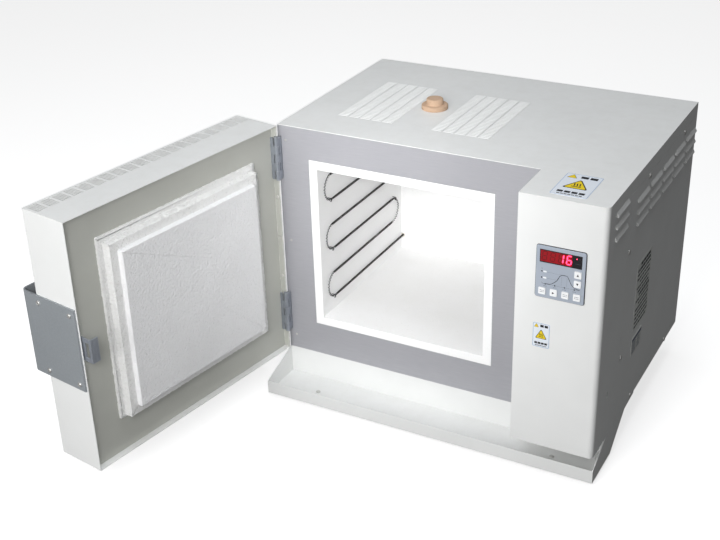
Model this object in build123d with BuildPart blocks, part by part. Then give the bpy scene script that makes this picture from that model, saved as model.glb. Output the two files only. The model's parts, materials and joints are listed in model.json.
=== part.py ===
from build123d import *

import math
import os

os.makedirs("parts", exist_ok=True)

# Bench kiln for pottery with a side-hung door, all sizes in millimetres.
# Cabinet frame while modelling: X to the right along the front, Y to the back, Z up from the bench,
# X = 0 at the cabinet's left side and Y = 0 at its steel front panel. The last step moves the origin
# to the middle of the bench space that the kiln takes with its door standing open.

# --- Driving sizes: cabinet -------------------------------------------------------------------------
cabinet_width = 600.0
cabinet_depth = 380.0
cabinet_height = 490.0
housing_width = 136.0  # control housing at the right of the front
housing_reach = 93.0  # how far the housing stands forward of the front panel
housing_corner = 8.0
skirt_height = 63.0  # lower edge of the covers above the bench
top_flange = 22.5  # depth of the top cover's side flanges
sheet = 1.2
gap = 0.3  # between pieces that only stand beside each other

# --- Base ------------------------------------------------------------------------------------------
foot_height = 10.0
foot_radius = 14.0
front_foot_inset = 38.0  # from the front lip of the tray
front_foot_side = 81.0
rear_foot_side = 90.0
tray_reach = 83.5
tray_lip = 24.0
rear_support_width = 480.0
rear_support_depth = 45.0
rear_support_inset = 35.0
rake_start = 6.0  # where the tray's sides rise behind the front panel
rake_end = 73.0
tray_side_end = 122.0

# --- Firing chamber --------------------------------------------------------------------------------
chamber_left = 72.5
chamber_floor = 139.0
chamber_right_inset = 88.5  # from the chamber to the control housing
chamber_roof_inset = 70.0  # from the chamber to the top of the cabinet
chamber_back_inset = 73.0  # from the chamber to the back of the cabinet
rim_width = 15.0
rim_depth = 20.0
lining = 45.0  # thickness of the fibre boards
case_sheet = 0.8
case_clearance = 0.2

# --- Heating elements ------------------------------------------------------------------------------
coil_radius = 2.0
coil_stand_off = 3.4  # coil axis from the chamber wall
lowest_run = 27.0  # above the chamber floor
highest_run = 21.5  # below the chamber roof
run_count = 6
front_bend = 16.0  # foremost point of the coil behind the front panel
back_bend = 20.0  # rearmost point of the coil in front of the back wall
bushing_radius = 4.5
bushing_bore = 2.5
hook_radius = 0.8
hook_drop = 5.5
hook_shift = 8.0  # how far round the bend the hooks sit

# --- Chimney ---------------------------------------------------------------------------------------
chimney_off_centre = 17.0  # to the left of the chamber's middle
chimney_y = 173.0
chimney_radius = 18.0
chimney_bore = 11.0
plug_disc_radius = 22.5
plug_disc_height = 8.0
plug_knob_radius = 14.5
plug_knob_height = 10.0
plug_stem_length = 28.0
plug_clearance = 0.3

# --- Vents -----------------------------------------------------------------------------------------
vent_strips = 5
vent_strip_width = 18.6
vent_strip_pitch = 20.6
vent_slots = 31
vent_slot_pitch = 6.0
vent_slot_width = 2.6
vent_block_left = 84.3  # from the chimney to the middle of each block
vent_block_right = 88.0
vent_block_y = 171.0
louvre_length = 54.0
louvre_height = 7.0
louvre_reach = 3.2
louvre_pitch = 19.2
louvre_rows = 3
louvre_column_pitch = 67.8
first_louvre_y = 76.8
last_louvre_inset = 4.0  # least distance from a louvre to the back
top_louvre_inset = 24.5  # below the top of the side covers
housing_louvre_y = -59.0
housing_louvre_length = 55.5
housing_louvre_pitch = 19.5
housing_louvre_inset = 2.5

# --- Door ------------------------------------------------------------------------------------------
door_side_gap = 10.0  # from the door's free side to the control housing
door_thickness = 89.4
door_gap = 8.0  # from the front panel to the door's rim when shut
door_angle = 99.3  # how far the door stands open
liner_recess = 11.0
blanket_thickness = 4.0
blanket_border = 10.0
seal_overlap = 11.0  # how far the seal board laps over the rim board
seal_clearance = 0.4
plug_depth = 9.5
plug_margin = 5.0  # between the plug board and the chamber walls
door_fill_inset = 20.0
door_fill_thickness = 60.0
door_vent_border = 14.0  # least distance from a vent's middle to the door's sides
door_vent_pitch = 22.4
door_vent_slots = 5
door_vent_slot_pitch = 3.7
door_vent_slot_width = 1.8
door_vent_length = 28.0
door_vent_y = 72.0  # from the door's rim

# --- Hinges ----------------------------------------------------------------------------------------
hinge_x = 2.24
hinge_y = -9.2
hinge_length = 74.5
low_hinge = 74.5  # middle of the lower hinge above the door's lower edge
high_hinge = 58.25  # middle of the upper hinge below the door's top
barrel_radius = 4.0
pin_radius = 2.0
pin_clearance = 0.05
leaf = 2.0
leaf_reach = 34.0
knuckles = 5

# --- Handle and latch ------------------------------------------------------------------------------
handle_bottom = 210.0
handle_height = 140.0
handle_plate = 3.0
handle_reach = 122.0  # from the door's rim to the back of the pull
handle_return = 45.0
handle_bend = 11.0
latch_bottom = 263.0
latch_height = 40.0
latch_reach = 17.0  # beyond the door's rim
latch_travel = 24.0
latch_sheet = 2.0
latch_hook = 14.5
latch_inset = 2.5  # from the inside of the door's free side
latch_slot = (20.0, 1.5)  # slot in the front panel, to both sides of the door's free side

# --- Controller ------------------------------------------------------------------------------------
controller_inset = 69.5  # from the housing's left side to the controller's middle
controller_drop = 118.0  # from the top of the cabinet to the controller's middle
bezel_width = 75.0
bezel_height = 84.5
bezel_thickness = 2.6
case_width = 69.0
case_height = 78.0
case_depth = 88.0
window_width = 64.5
window_height = 21.0
window_above_centre = 26.0
key_size = 11.0
key_clearance = 0.3
key_height = 3.0
key_travel = 0.7
key_column_pitch = 17.8
key_row_z = -31.3
arrow_key_x = 26.9
arrow_key_z = (5.7, -9.2)

# --- Fasteners -------------------------------------------------------------------------------------
screw_head_radius = 4.0
screw_head_height = 2.2
screw_radius = 2.0
screw_hole = 2.2
screw_length = 7.0

# --- Labels and plates -----------------------------------------------------------------------------
label_thickness = 0.3
top_label = (56.0, 80.0)
top_label_inset = 68.0  # from the cabinet's right side
top_label_y = -37.8
front_label = (27.0, 42.0)
front_label_inset = 92.0
front_label_drop = 227.0
notice_y = (80.0, 158.0)
notice_drop = 147.5  # from the top of the side cover
notice_rise = 13.0  # above the rating plate
rating_plate_y = (81.0, 134.0)
rating_plate_height = 33.0
rating_plate_rise = 89.0  # above the lower edge of the side cover

# --- Electrics behind the control housing ----------------------------------------------------------
relay_y = (150.0, 210.0)
relay_z = (220.0, 265.0)
relay_depth = 26.0
sink_base = 5.0
sink_border = 30.0  # how far the heat sink stands past the relay above and below
fin_count = 9
fin_pitch = 11.0
fin_reach = 27.0
fin_sheet = 2.0
terminal_size = (60.0, 25.0, 16.0)
terminal_inset = 45.0  # from the back of the cabinet
terminal_ribs = 5
terminal_rib_pitch = 14.5
terminal_rib_height = 8.0

# --- Sizes that follow ------------------------------------------------------------------------------
housing_left = cabinet_width - housing_width
cover_top = cabinet_height - top_flange
under_top = cabinet_height - sheet
seam_y = 13.0  # where the housing's side meets the right cover
chamber_width = housing_left - chamber_left - chamber_right_inset
chamber_height = cabinet_height - chamber_floor - chamber_roof_inset
chamber_depth = cabinet_depth - chamber_back_inset
chamber_right = chamber_left + chamber_width
chamber_roof = chamber_floor + chamber_height
chamber_x = chamber_left + chamber_width / 2
chamber_z = chamber_floor + chamber_height / 2
rim_left = chamber_left - rim_width
rim_right = chamber_right + rim_width
rim_bottom = chamber_floor - rim_width
rim_top = chamber_roof + rim_width
lining_left_x = chamber_left - lining
lining_right_x = chamber_right + lining
lining_bottom = chamber_floor - lining
lining_top = chamber_roof + lining
lining_back_y = chamber_depth + lining
case_wall = case_sheet + case_clearance
partition_x = housing_left - 3.0
post_size = lining_left_x - case_wall - sheet - gap - 1.0
first_run = chamber_floor + lowest_run
top_run = chamber_roof - highest_run
run_pitch = (top_run - first_run) / (run_count - 1)
chimney_x = chamber_x - chimney_off_centre
top_louvre_z = cover_top - top_louvre_inset
last_louvre_y = cabinet_depth - last_louvre_inset - louvre_length / 2
louvre_columns = int((last_louvre_y - first_louvre_y) / louvre_column_pitch) + 1
door_width = housing_left - door_side_gap
door_vents = int((door_width - 2 * door_vent_border) / door_vent_pitch) + 1
controller_x = housing_left + controller_inset
controller_z = cabinet_height - controller_drop
rim_y = -door_gap
door_face_y = rim_y - door_thickness
liner_y = rim_y - liner_recess
door_bottom = skirt_height + 1.0
door_top = cabinet_height
hinge_heights = (door_bottom + low_hinge, door_top - high_hinge)
knuckle_length = hinge_length / knuckles
rear_support_y = cabinet_depth - rear_support_inset - rear_support_depth
front_foot_y = front_foot_inset - tray_reach
feet_places = (
    (front_foot_side, front_foot_y),
    (cabinet_width - front_foot_side, front_foot_y),
    (rear_foot_side, rear_support_y + rear_support_depth / 2),
    (cabinet_width - rear_foot_side, rear_support_y + rear_support_depth / 2),
)
side_screws = (
    (21.0, skirt_height + 122.0),
    (21.0, cover_top - 97.5),
    (100.0, skirt_height + 5.5),
    (cabinet_depth - 79.0, skirt_height + 5.5),
    (104.5, cover_top - 5.0),
    (cabinet_depth - 77.0, cover_top - 5.0),
)
back_screws = tuple(
    (x, z)
    for x in (50.0, cabinet_width / 2, cabinet_width - 50.0)
    for z in (skirt_height + 10.0, cover_top - 10.0)
)
gland_x = cabinet_width - 60.0
gland_z = skirt_height + 47.0
gland_radius = 8.0
thermocouple_y = 200.0
thermocouple_z = top_run - run_pitch / 2
thermocouple_radius = 4.0

# Each finished piece by its name, in the cabinet frame with the door at its open angle.
pieces = {}
hinge_axis = Axis((hinge_x, hinge_y, 0), (0, 0, 1))


def keep(label, builder):
    """Keep a finished piece of the cabinet."""
    pieces[label] = builder.part


def keep_on_door(label, builder):
    """Keep a piece that was modelled on the shut door, swung open about the hinge pins."""
    pieces[label] = builder.part.rotate(hinge_axis, -door_angle)


def slab(x, y, z, mode=Mode.ADD):
    """A block between two values on each axis, in the open part."""
    with Locations(((x[0] + x[1]) / 2, (y[0] + y[1]) / 2, (z[0] + z[1]) / 2)):
        Box(x[1] - x[0], y[1] - y[0], z[1] - z[0], mode=mode)


def rod(start, direction, radius, length, mode=Mode.ADD):
    """A round bar from a point along an axis, in the open part."""
    with BuildSketch(Plane(origin=start, z_dir=direction)) as section:
        Circle(radius)
    extrude(section.sketch, amount=length, mode=mode)


def screw(surface, outward, length=screw_length):
    """A pan-head screw whose head sits on a surface."""
    inward = tuple(-part for part in outward)
    with BuildSketch(Plane(origin=surface, z_dir=outward)) as head:
        Circle(screw_head_radius)
    extrude(head.sketch, amount=screw_head_height, taper=12)
    rod(surface, inward, screw_radius, length)


# --- Base tray: floor, front lip, back wall and raked side plates -----------------------------------
def tray_side(inner_x, height_at_back):
    """Side plate of the tray, raked up behind the front feet."""
    with BuildSketch(Plane.YZ.offset(inner_x)) as side:
        with BuildLine():
            Polyline(
                (-tray_reach, foot_height),
                (rake_start, foot_height),
                (rake_end, skirt_height - 6.0),
                (tray_side_end, skirt_height - 3.0),
                (tray_side_end, skirt_height - gap),
                (0.0, skirt_height - gap),
                height_at_back,
                (-tray_reach, foot_height + tray_lip),
                close=True,
            )
        make_face()
    extrude(side.sketch, amount=sheet)


with BuildPart() as base_tray:
    slab((0, cabinet_width), (-tray_reach, sheet), (foot_height, foot_height + sheet))
    slab((0, cabinet_width), (-tray_reach, sheet - tray_reach), (foot_height, foot_height + tray_lip))
    slab((0, cabinet_width), (0, sheet), (foot_height, skirt_height - sheet))
    slab((0, cabinet_width), (0, 20), (skirt_height - sheet, skirt_height))
    tray_side(0, (-1.0, skirt_height - 1.0))
    tray_side(cabinet_width - sheet, (-25.0, skirt_height - gap))
    for x, y in feet_places[:2]:
        rod((x, y, 0), (0, 0, 1), screw_hole, skirt_height / 2, Mode.SUBTRACT)
keep("base_tray", base_tray)

with BuildPart() as rear_support:
    support_left = (cabinet_width - rear_support_width) / 2
    support_x = (support_left, support_left + rear_support_width)
    near_y = rear_support_y
    far_y = rear_support_y + rear_support_depth
    slab(support_x, (near_y, far_y), (foot_height, foot_height + sheet))
    for wall_y in ((near_y, near_y + sheet), (far_y - sheet, far_y)):
        slab(support_x, wall_y, (foot_height, skirt_height))
    for flange_y in ((near_y - 12, near_y), (far_y, far_y + 12)):
        slab(support_x, flange_y, (skirt_height - sheet, skirt_height))
    for x, y in feet_places[2:]:
        rod((x, y, 0), (0, 0, 1), screw_hole, skirt_height / 2, Mode.SUBTRACT)
keep("rear_support", rear_support)

with BuildPart() as feet:
    for x, y in feet_places:
        with BuildSketch(Plane.XY.offset(foot_height)):
            with Locations((x, y)):
                Circle(foot_radius)
        extrude(amount=-foot_height, taper=8)
    for x, y in feet_places:
        rod((x, y, 2.5), (0, 0, 1), screw_hole, foot_height, Mode.SUBTRACT)
keep("feet", feet)

with BuildPart() as foot_screws:
    for x, y in feet_places:
        screw((x, y, foot_height + sheet), (0, 0, 1))
keep("foot_screws", foot_screws)

# --- Chassis: floor, posts and partition ------------------------------------------------------------
with BuildPart() as chassis_floor:
    slab(
        (sheet + gap, cabinet_width - sheet - gap),
        (sheet + gap, cabinet_depth - sheet - gap),
        (skirt_height, skirt_height + sheet),
    )
keep("chassis_floor", chassis_floor)

post_inset = 5.0  # behind the front panel
leaf_clearance = 0.24  # from a post to the hinge leaf beside it
post_sheet = hinge_x + barrel_radius - leaf - leaf_clearance - sheet - gap
web_y = hinge_y + leaf_reach + 1.7  # a front post's web passes behind the hinge leaf
with BuildPart() as corner_posts:
    post_z = (skirt_height + sheet, under_top)
    left_x = sheet + gap
    right_x = cabinet_width - sheet - gap
    back_y = cabinet_depth - sheet - gap
    for y0, y1, web in (
        (post_inset, web_y + post_sheet, (web_y, web_y + post_sheet)),
        (back_y - post_size, back_y, (back_y - post_sheet, back_y)),
    ):
        slab((left_x, left_x + post_sheet), (y0, y1), post_z)
        slab((left_x, left_x + post_size), web, post_z)
        slab((right_x - post_sheet, right_x), (y0 + 10, y1), post_z)
        slab((right_x - post_size, right_x), web, post_z)
    for x in (0, cabinet_width):
        for y, z in side_screws[:2]:
            rod((x - 10, y, z), (1, 0, 0), screw_hole, 20, Mode.SUBTRACT)
keep("corner_posts", corner_posts)

with BuildPart() as partition:
    slab(
        (partition_x, partition_x + sheet),
        (sheet + gap, cabinet_depth - sheet - gap),
        (skirt_height + sheet, under_top),
    )
keep("partition", partition)

# --- Front panel of stainless steel, with the chamber rim standing in its window --------------------
leaf_x = (hinge_x + barrel_radius - leaf, hinge_x + barrel_radius)
slot_clearance = 0.5
with BuildPart() as front_panel:
    slab((0, housing_left - gap), (0, sheet), (skirt_height, under_top))
    slab(
        (rim_left - gap, rim_right + gap),
        (-1, sheet + 1),
        (rim_bottom - gap, rim_top + gap),
        Mode.SUBTRACT,
    )
    for height in hinge_heights:
        slab(
            (leaf_x[0] - slot_clearance, leaf_x[1] + slot_clearance),
            (-1, sheet + 1),
            (height - hinge_length / 2 - slot_clearance, height + hinge_length / 2 + slot_clearance),
            Mode.SUBTRACT,
        )
    slab(
        (door_width - latch_slot[0], door_width + latch_slot[1]),
        (-1, sheet + 1),
        (latch_bottom - 5, latch_bottom + latch_height + latch_travel + 5),
        Mode.SUBTRACT,
    )
keep("front_panel", front_panel)

with BuildPart() as panel_rivets:
    for z in (skirt_height + 27.0, cabinet_height / 2 + 33.4, cabinet_height - 26.3):
        with BuildSketch(Plane.XZ):
            with Locations((14.5, z)):
                Circle(2.2)
        extrude(amount=0.8, taper=20)
keep("panel_rivets", panel_rivets)


# --- Covers -----------------------------------------------------------------------------------------
def vent_grid(block_x):
    """Slots punched in strips across the top, in the open sketch."""
    with Locations((block_x, vent_block_y)):
        with GridLocations(vent_strip_pitch, vent_slot_pitch, vent_strips, vent_slots):
            SlotOverall(vent_strip_width, vent_slot_width, mode=Mode.SUBTRACT)


def front_right_corner(corners):
    """The corner at the front right of an outline."""
    return corners.filter_by(lambda corner: corner.Y < 1 - housing_reach).sort_by(Axis.X)[-1]


with BuildPart() as top_cover:
    with BuildSketch(Plane.XY.offset(under_top)):
        with BuildLine():
            Polyline(
                (0, 0),
                (housing_left, 0),
                (housing_left, -housing_reach),
                (cabinet_width, -housing_reach),
                (cabinet_width, cabinet_depth),
                (0, cabinet_depth),
                close=True,
            )
        make_face()
        fillet(front_right_corner(vertices()), housing_corner)
        vent_grid(chimney_x - vent_block_left)
        vent_grid(chimney_x + vent_block_right)
    extrude(amount=sheet)
    rod(
        (chimney_x, chimney_y, under_top - 1),
        (0, 0, 1),
        chimney_radius + gap,
        sheet + 2,
        Mode.SUBTRACT,
    )
    flange_z = (cover_top + gap, under_top)
    slab((0, sheet), (sheet + gap, cabinet_depth), flange_z)
    slab((cabinet_width - sheet, cabinet_width), (seam_y + gap, cabinet_depth), flange_z)
    slab((0, cabinet_width), (cabinet_depth - sheet, cabinet_depth), flange_z)
keep("top_cover", top_cover)


def louvre_column(wall_x, outward, start_y, top_z, pitch, length):
    """A column of hooded louvres that open downwards, pressed out of a side wall in the open part."""
    wall = 0.9
    half = louvre_height / 2
    lip_x = wall_x + outward * louvre_reach
    inner_x = lip_x - outward * wall
    heights = [top_z - row * pitch for row in range(louvre_rows)]
    with BuildSketch(Plane.XZ.offset(-start_y)) as hoods:
        for z in heights:
            with BuildLine():
                Polyline(
                    (wall_x, z + half + 0.8),
                    (lip_x, z - half + 1.8),
                    (lip_x, z - half),
                    (wall_x, z - half),
                    close=True,
                )
            make_face()
    extrude(hoods.sketch, amount=-length)
    with BuildSketch(Plane.XZ.offset(-start_y - wall)) as hollows:
        for z in heights:
            with BuildLine():
                Polyline(
                    (wall_x, z + half - 0.5),
                    (inner_x, z - half + 1.2),
                    (inner_x, z - half - 1),
                    (wall_x, z - half - 1),
                    close=True,
                )
            make_face()
    extrude(hollows.sketch, amount=2 * wall - length, mode=Mode.SUBTRACT)
    slot_x = sorted((wall_x - outward * (sheet + 1), wall_x + outward * 0.1))
    for z in heights:
        slot_y = (start_y + wall, start_y + length - wall)
        slab(slot_x, slot_y, (z - half, z + half - 0.8), Mode.SUBTRACT)


def side_cover(wall_x, outward):
    """A side cover with its joggled top edge, louvres and screw holes, in the open part."""
    inner_face = wall_x - outward * sheet
    start_y = seam_y + gap if outward > 0 else sheet + gap
    slab(sorted((inner_face, wall_x)), (start_y, cabinet_depth), (skirt_height, cover_top))
    joggle_x = sorted((inner_face - outward * sheet, inner_face))
    joggle_y = (start_y + 32.0, cabinet_depth - 34.0)
    slab(joggle_x, joggle_y, (cover_top - 8.0, cover_top + 14.0))
    for column in range(louvre_columns):
        middle_y = first_louvre_y + column * louvre_column_pitch
        column_y = middle_y - louvre_length / 2
        louvre_column(wall_x, outward, column_y, top_louvre_z, louvre_pitch, louvre_length)
    for y, z in side_screws:
        rod((wall_x - 10, y, z), (1, 0, 0), screw_hole, 20, Mode.SUBTRACT)


with BuildPart() as right_cover:
    side_cover(cabinet_width, 1)
keep("right_cover", right_cover)

with BuildPart() as left_cover:
    side_cover(0, -1)
keep("left_cover", left_cover)

with BuildPart() as back_panel:
    slab(
        (sheet + gap, cabinet_width - sheet - gap),
        (cabinet_depth - sheet, cabinet_depth),
        (skirt_height, cover_top),
    )
    for x, z in back_screws:
        rod((x, cabinet_depth - 10, z), (0, 1, 0), screw_hole, 20, Mode.SUBTRACT)
    rod((gland_x, cabinet_depth - 10, gland_z), (0, 1, 0), gland_radius + gap, 20, Mode.SUBTRACT)
    for slot_x in (cabinet_width * 0.3, cabinet_width * 0.7):
        with BuildSketch(Plane.XZ.offset(-cabinet_depth)):
            with Locations((slot_x, cover_top - 70.0)):
                with GridLocations(12.0, 1.0, 12, 1):
                    SlotOverall(50.0, 4.0, rotation=90)
        extrude(amount=2 * sheet, both=True, mode=Mode.SUBTRACT)
keep("back_panel", back_panel)

with BuildPart() as cover_screws:
    for y, z in side_screws:
        screw((cabinet_width, y, z), (1, 0, 0))
        screw((0, y, z), (-1, 0, 0))
    for x, z in back_screws:
        screw((x, cabinet_depth, z), (0, 1, 0))
keep("cover_screws", cover_screws)

# --- Control housing --------------------------------------------------------------------------------
with BuildPart() as control_cover:
    with BuildSketch(Plane.XY.offset(skirt_height)):
        with BuildLine():
            Polyline(
                (housing_left, -gap),
                (housing_left, -housing_reach),
                (cabinet_width, -housing_reach),
                (cabinet_width, seam_y),
                (cabinet_width - sheet, seam_y),
                (cabinet_width - sheet, -gap),
                close=True,
            )
        make_face()
        fillet(front_right_corner(vertices()), housing_corner)
    extrude(amount=under_top - skirt_height)
    with BuildSketch(Plane.XY.offset(skirt_height + sheet)):
        with BuildLine():
            Polyline(
                (housing_left + sheet, 1),
                (housing_left + sheet, sheet - housing_reach),
                (cabinet_width - sheet, sheet - housing_reach),
                (cabinet_width - sheet, 1),
                close=True,
            )
        make_face()
        inside_corner = vertices().filter_by(lambda v: v.Y < 0).sort_by(Axis.X)[-1]
        fillet(inside_corner, housing_corner - sheet)
    extrude(amount=cabinet_height, mode=Mode.SUBTRACT)
    slab(
        (controller_x - case_width / 2 - gap, controller_x + case_width / 2 + gap),
        (-housing_reach - 1, -housing_reach + 5),
        (controller_z - case_height / 2 - gap, controller_z + case_height / 2 + gap),
        Mode.SUBTRACT,
    )
    louvre_column(
        cabinet_width,
        1,
        housing_louvre_y,
        cover_top - housing_louvre_inset,
        housing_louvre_pitch,
        housing_louvre_length,
    )
    slab(
        (cabinet_width - 5, cabinet_width + 5),
        (-38.0, -34.0),
        (144.0, 155.0),
        Mode.SUBTRACT,
    )
keep("control_cover", control_cover)

with BuildPart() as controller_case:
    case_front = -housing_reach
    slab(
        (controller_x - case_width / 2, controller_x + case_width / 2),
        (case_front, case_front + case_depth),
        (controller_z - case_height / 2, controller_z + case_height / 2),
    )
    fillet(controller_case.edges().filter_by(Axis.Y), 2.0)
keep("controller_case", controller_case)

bezel_front = -housing_reach - bezel_thickness
window_z = controller_z + window_above_centre
key_places = {
    "key_up": (arrow_key_x, arrow_key_z[0]),
    "key_down": (arrow_key_x, arrow_key_z[1]),
    "key_menu": (arrow_key_x - 3 * key_column_pitch, key_row_z),
    "key_shift": (arrow_key_x - 2 * key_column_pitch, key_row_z),
    "key_set": (arrow_key_x - key_column_pitch, key_row_z),
    "key_run": (arrow_key_x, key_row_z),
}
window_recess = 1.2
with BuildPart() as controller_bezel:
    slab(
        (controller_x - bezel_width / 2, controller_x + bezel_width / 2),
        (bezel_front, -housing_reach),
        (controller_z - bezel_height / 2, controller_z + bezel_height / 2),
    )
    fillet(controller_bezel.edges().filter_by(Axis.Y), 3.0)
    fillet(controller_bezel.faces().sort_by(Axis.Y)[0].edges(), 0.8)
    slab(
        (controller_x - window_width / 2, controller_x + window_width / 2),
        (bezel_front - 1, bezel_front + window_recess),
        (window_z - window_height / 2, window_z + window_height / 2),
        Mode.SUBTRACT,
    )
    for x, z in key_places.values():
        with BuildSketch(Plane.XZ.offset(housing_reach + 10)):
            with Locations((controller_x + x, controller_z + z)):
                RectangleRounded(key_size + 2 * key_clearance, key_size + 2 * key_clearance, 1.5)
        extrude(amount=-20, mode=Mode.SUBTRACT)
keep("controller_bezel", controller_bezel)

with BuildPart() as display_window:
    slab(
        (controller_x - window_width / 2, controller_x + window_width / 2),
        (bezel_front + 0.2, bezel_front + window_recess),
        (window_z - window_height / 2, window_z + window_height / 2),
    )
keep("display_window", display_window)

for label, (x, z) in key_places.items():
    key_back = -housing_reach - key_travel - 0.2
    with BuildPart() as key:
        with BuildSketch(Plane.XZ.offset(-key_back)):
            with Locations((controller_x + x, controller_z + z)):
                RectangleRounded(key_size, key_size, 1.2)
        extrude(amount=key_height)
        fillet(key.faces().sort_by(Axis.Y)[0].edges(), 0.5)
    keep(label, key)

# --- Firing chamber: sheet case on rails, blanket, rim board and five lining boards -----------------
case_x = (lining_left_x - case_wall, lining_right_x + case_wall)
case_z = (lining_bottom - case_wall, lining_top + case_wall)
blanket_y = sheet + gap
bushing_length = lining + 8.0
element_walls = (
    (chamber_left, 1),
    (chamber_right, -1),
)
element_ends = [
    (wall_x + side * coil_stand_off, z) for wall_x, side in element_walls for z in (first_run, top_run)
]

with BuildPart() as case_rails:
    for x in (lining_left_x + 60.0, lining_right_x - 60.0):
        for web_x in ((x - 20, x - 20 + sheet), (x + 20 - sheet, x + 20)):
            slab(web_x, (30.0, lining_back_y - 20), (skirt_height + sheet, case_z[0]))
        slab((x - 20, x + 20), (30.0, lining_back_y - 20), (case_z[0] - sheet, case_z[0]))
keep("case_rails", case_rails)

with BuildPart() as inner_case:
    slab(case_x, (blanket_y, lining_back_y + case_wall), case_z)
    slab(
        (case_x[0] + case_sheet, case_x[1] - case_sheet),
        (blanket_y - 1, lining_back_y + case_clearance),
        (case_z[0] + case_sheet, case_z[1] - case_sheet),
        Mode.SUBTRACT,
    )
    rod(
        (chimney_x, chimney_y, chamber_z),
        (0, 0, 1),
        chimney_radius + gap,
        cabinet_height,
        Mode.SUBTRACT,
    )
    for x, z in element_ends:
        rod((x, chamber_depth, z), (0, 1, 0), bushing_radius + gap, 2 * lining, Mode.SUBTRACT)
    rod(
        (chamber_x, thermocouple_y, thermocouple_z),
        (1, 0, 0),
        thermocouple_radius + gap,
        chamber_width,
        Mode.SUBTRACT,
    )
keep("inner_case", inner_case)

with BuildPart() as front_blanket:
    slab((lining_left_x, lining_right_x), (blanket_y, rim_depth), (lining_bottom, lining_top))
    slab((rim_left, rim_right), (0, lining), (rim_bottom, rim_top), Mode.SUBTRACT)
keep("front_blanket", front_blanket)

with BuildPart() as rim_board:
    slab((rim_left, rim_right), (0, rim_depth), (rim_bottom, rim_top))
    slab((chamber_left, chamber_right), (-1, lining), (chamber_floor, chamber_roof), Mode.SUBTRACT)
keep("rim_board", rim_board)

board_x = (lining_left_x, lining_right_x)
board_y = (rim_depth, chamber_depth)
with BuildPart() as lining_floor:
    slab(board_x, board_y, (lining_bottom, chamber_floor))
keep("lining_floor", lining_floor)

with BuildPart() as lining_roof:
    slab(board_x, board_y, (chamber_roof, lining_top))
    rod(
        (chimney_x, chimney_y, chamber_z),
        (0, 0, 1),
        chimney_radius + gap,
        cabinet_height,
        Mode.SUBTRACT,
    )
keep("lining_roof", lining_roof)

with BuildPart() as lining_left:
    slab((lining_left_x, chamber_left), board_y, (chamber_floor, chamber_roof))
keep("lining_left", lining_left)

with BuildPart() as lining_right:
    slab((chamber_right, lining_right_x), board_y, (chamber_floor, chamber_roof))
    rod(
        (chamber_x, thermocouple_y, thermocouple_z),
        (1, 0, 0),
        thermocouple_radius + gap,
        chamber_width,
        Mode.SUBTRACT,
    )
keep("lining_right", lining_right)

with BuildPart() as lining_back:
    slab(board_x, (chamber_depth, lining_back_y), (lining_bottom, lining_top))
    for x, z in element_ends:
        rod((x, chamber_depth - 5, z), (0, 1, 0), bushing_radius, 2 * lining, Mode.SUBTRACT)
keep("lining_back", lining_back)

# --- Heating elements, their hooks and their bushings -----------------------------------------------
bend_radius = run_pitch / 2
front_y = front_bend + bend_radius
turn_y = chamber_depth - back_bend - bend_radius
tail_y = lining_back_y + 14.0


def element(wall_x, side):
    """One coil laid in runs on a side wall, with its two tails out through the back board."""
    coil_plane = Plane.YZ.offset(wall_x + side * coil_stand_off)
    with BuildLine(coil_plane) as path:
        for run in range(run_count):
            z = top_run - run * run_pitch
            opens_at_back = run % 2 == 1
            start = tail_y if run == 0 else (front_y if opens_at_back else turn_y)
            end = tail_y if run == run_count - 1 else (turn_y if opens_at_back else front_y)
            Line((start, z), (end, z))
            if run < run_count - 1:
                bulge = end + (bend_radius if opens_at_back else -bend_radius)
                ThreePointArc((end, z), (bulge, z - bend_radius), (end, z - run_pitch))
    tail = (wall_x + side * coil_stand_off, tail_y, top_run)
    with BuildSketch(Plane(origin=tail, z_dir=(0, -1, 0))) as section:
        Circle(coil_radius)
    sweep(section.sketch, path=path.wire())


for label, (wall_x, side) in zip(("element_left", "element_right"), element_walls):
    with BuildPart() as coil:
        element(wall_x, side)
    keep(label, coil)

hook_lift = bend_radius - math.sqrt(bend_radius**2 - hook_shift**2)
hook_places = [(run, front_y - hook_shift, hook_lift) for run in range(1, run_count, 2)]
hook_places += [(run, turn_y + hook_shift, -hook_lift) for run in range(1, run_count - 1, 2)]
with BuildPart() as element_hooks:
    for wall_x, side in element_walls:
        for run, y, lift in hook_places:
            z = top_run - run * run_pitch + lift + coil_radius + hook_radius + 0.3
            rod((wall_x, y, z), (side, 0, 0), hook_radius, coil_stand_off + coil_radius + 3.0)
            tip = wall_x + side * (coil_stand_off + coil_radius + 1.2)
            rod((tip, y, z), (0, 0, -1), hook_radius, hook_drop)
keep("element_hooks", element_hooks)

with BuildPart() as element_bushings:
    for x, z in element_ends:
        rod((x, chamber_depth, z), (0, 1, 0), bushing_radius, bushing_length)
    for x, z in element_ends:
        rod((x, chamber_depth - 1, z), (0, 1, 0), bushing_bore, 2 * lining, Mode.SUBTRACT)
keep("element_bushings", element_bushings)

with BuildPart() as thermocouple:
    sheath_start = chamber_right - 28.0
    head_start = lining_right_x + case_wall + gap
    rod(
        (sheath_start, thermocouple_y, thermocouple_z),
        (1, 0, 0),
        thermocouple_radius,
        head_start - sheath_start,
    )
    fillet(thermocouple.edges().sort_by(Axis.X)[0], 3.0)
    rod((head_start, thermocouple_y, thermocouple_z), (1, 0, 0), 13.0, 20.0)
keep("thermocouple", thermocouple)

# --- Chimney ----------------------------------------------------------------------------------------
with BuildPart() as chimney_tube:
    tube_top = cabinet_height - gap
    rod((chimney_x, chimney_y, chamber_roof), (0, 0, 1), chimney_radius, tube_top - chamber_roof)
    rod((chimney_x, chimney_y, 0), (0, 0, 1), chimney_bore, 2 * cabinet_height, Mode.SUBTRACT)
keep("chimney_tube", chimney_tube)

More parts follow.
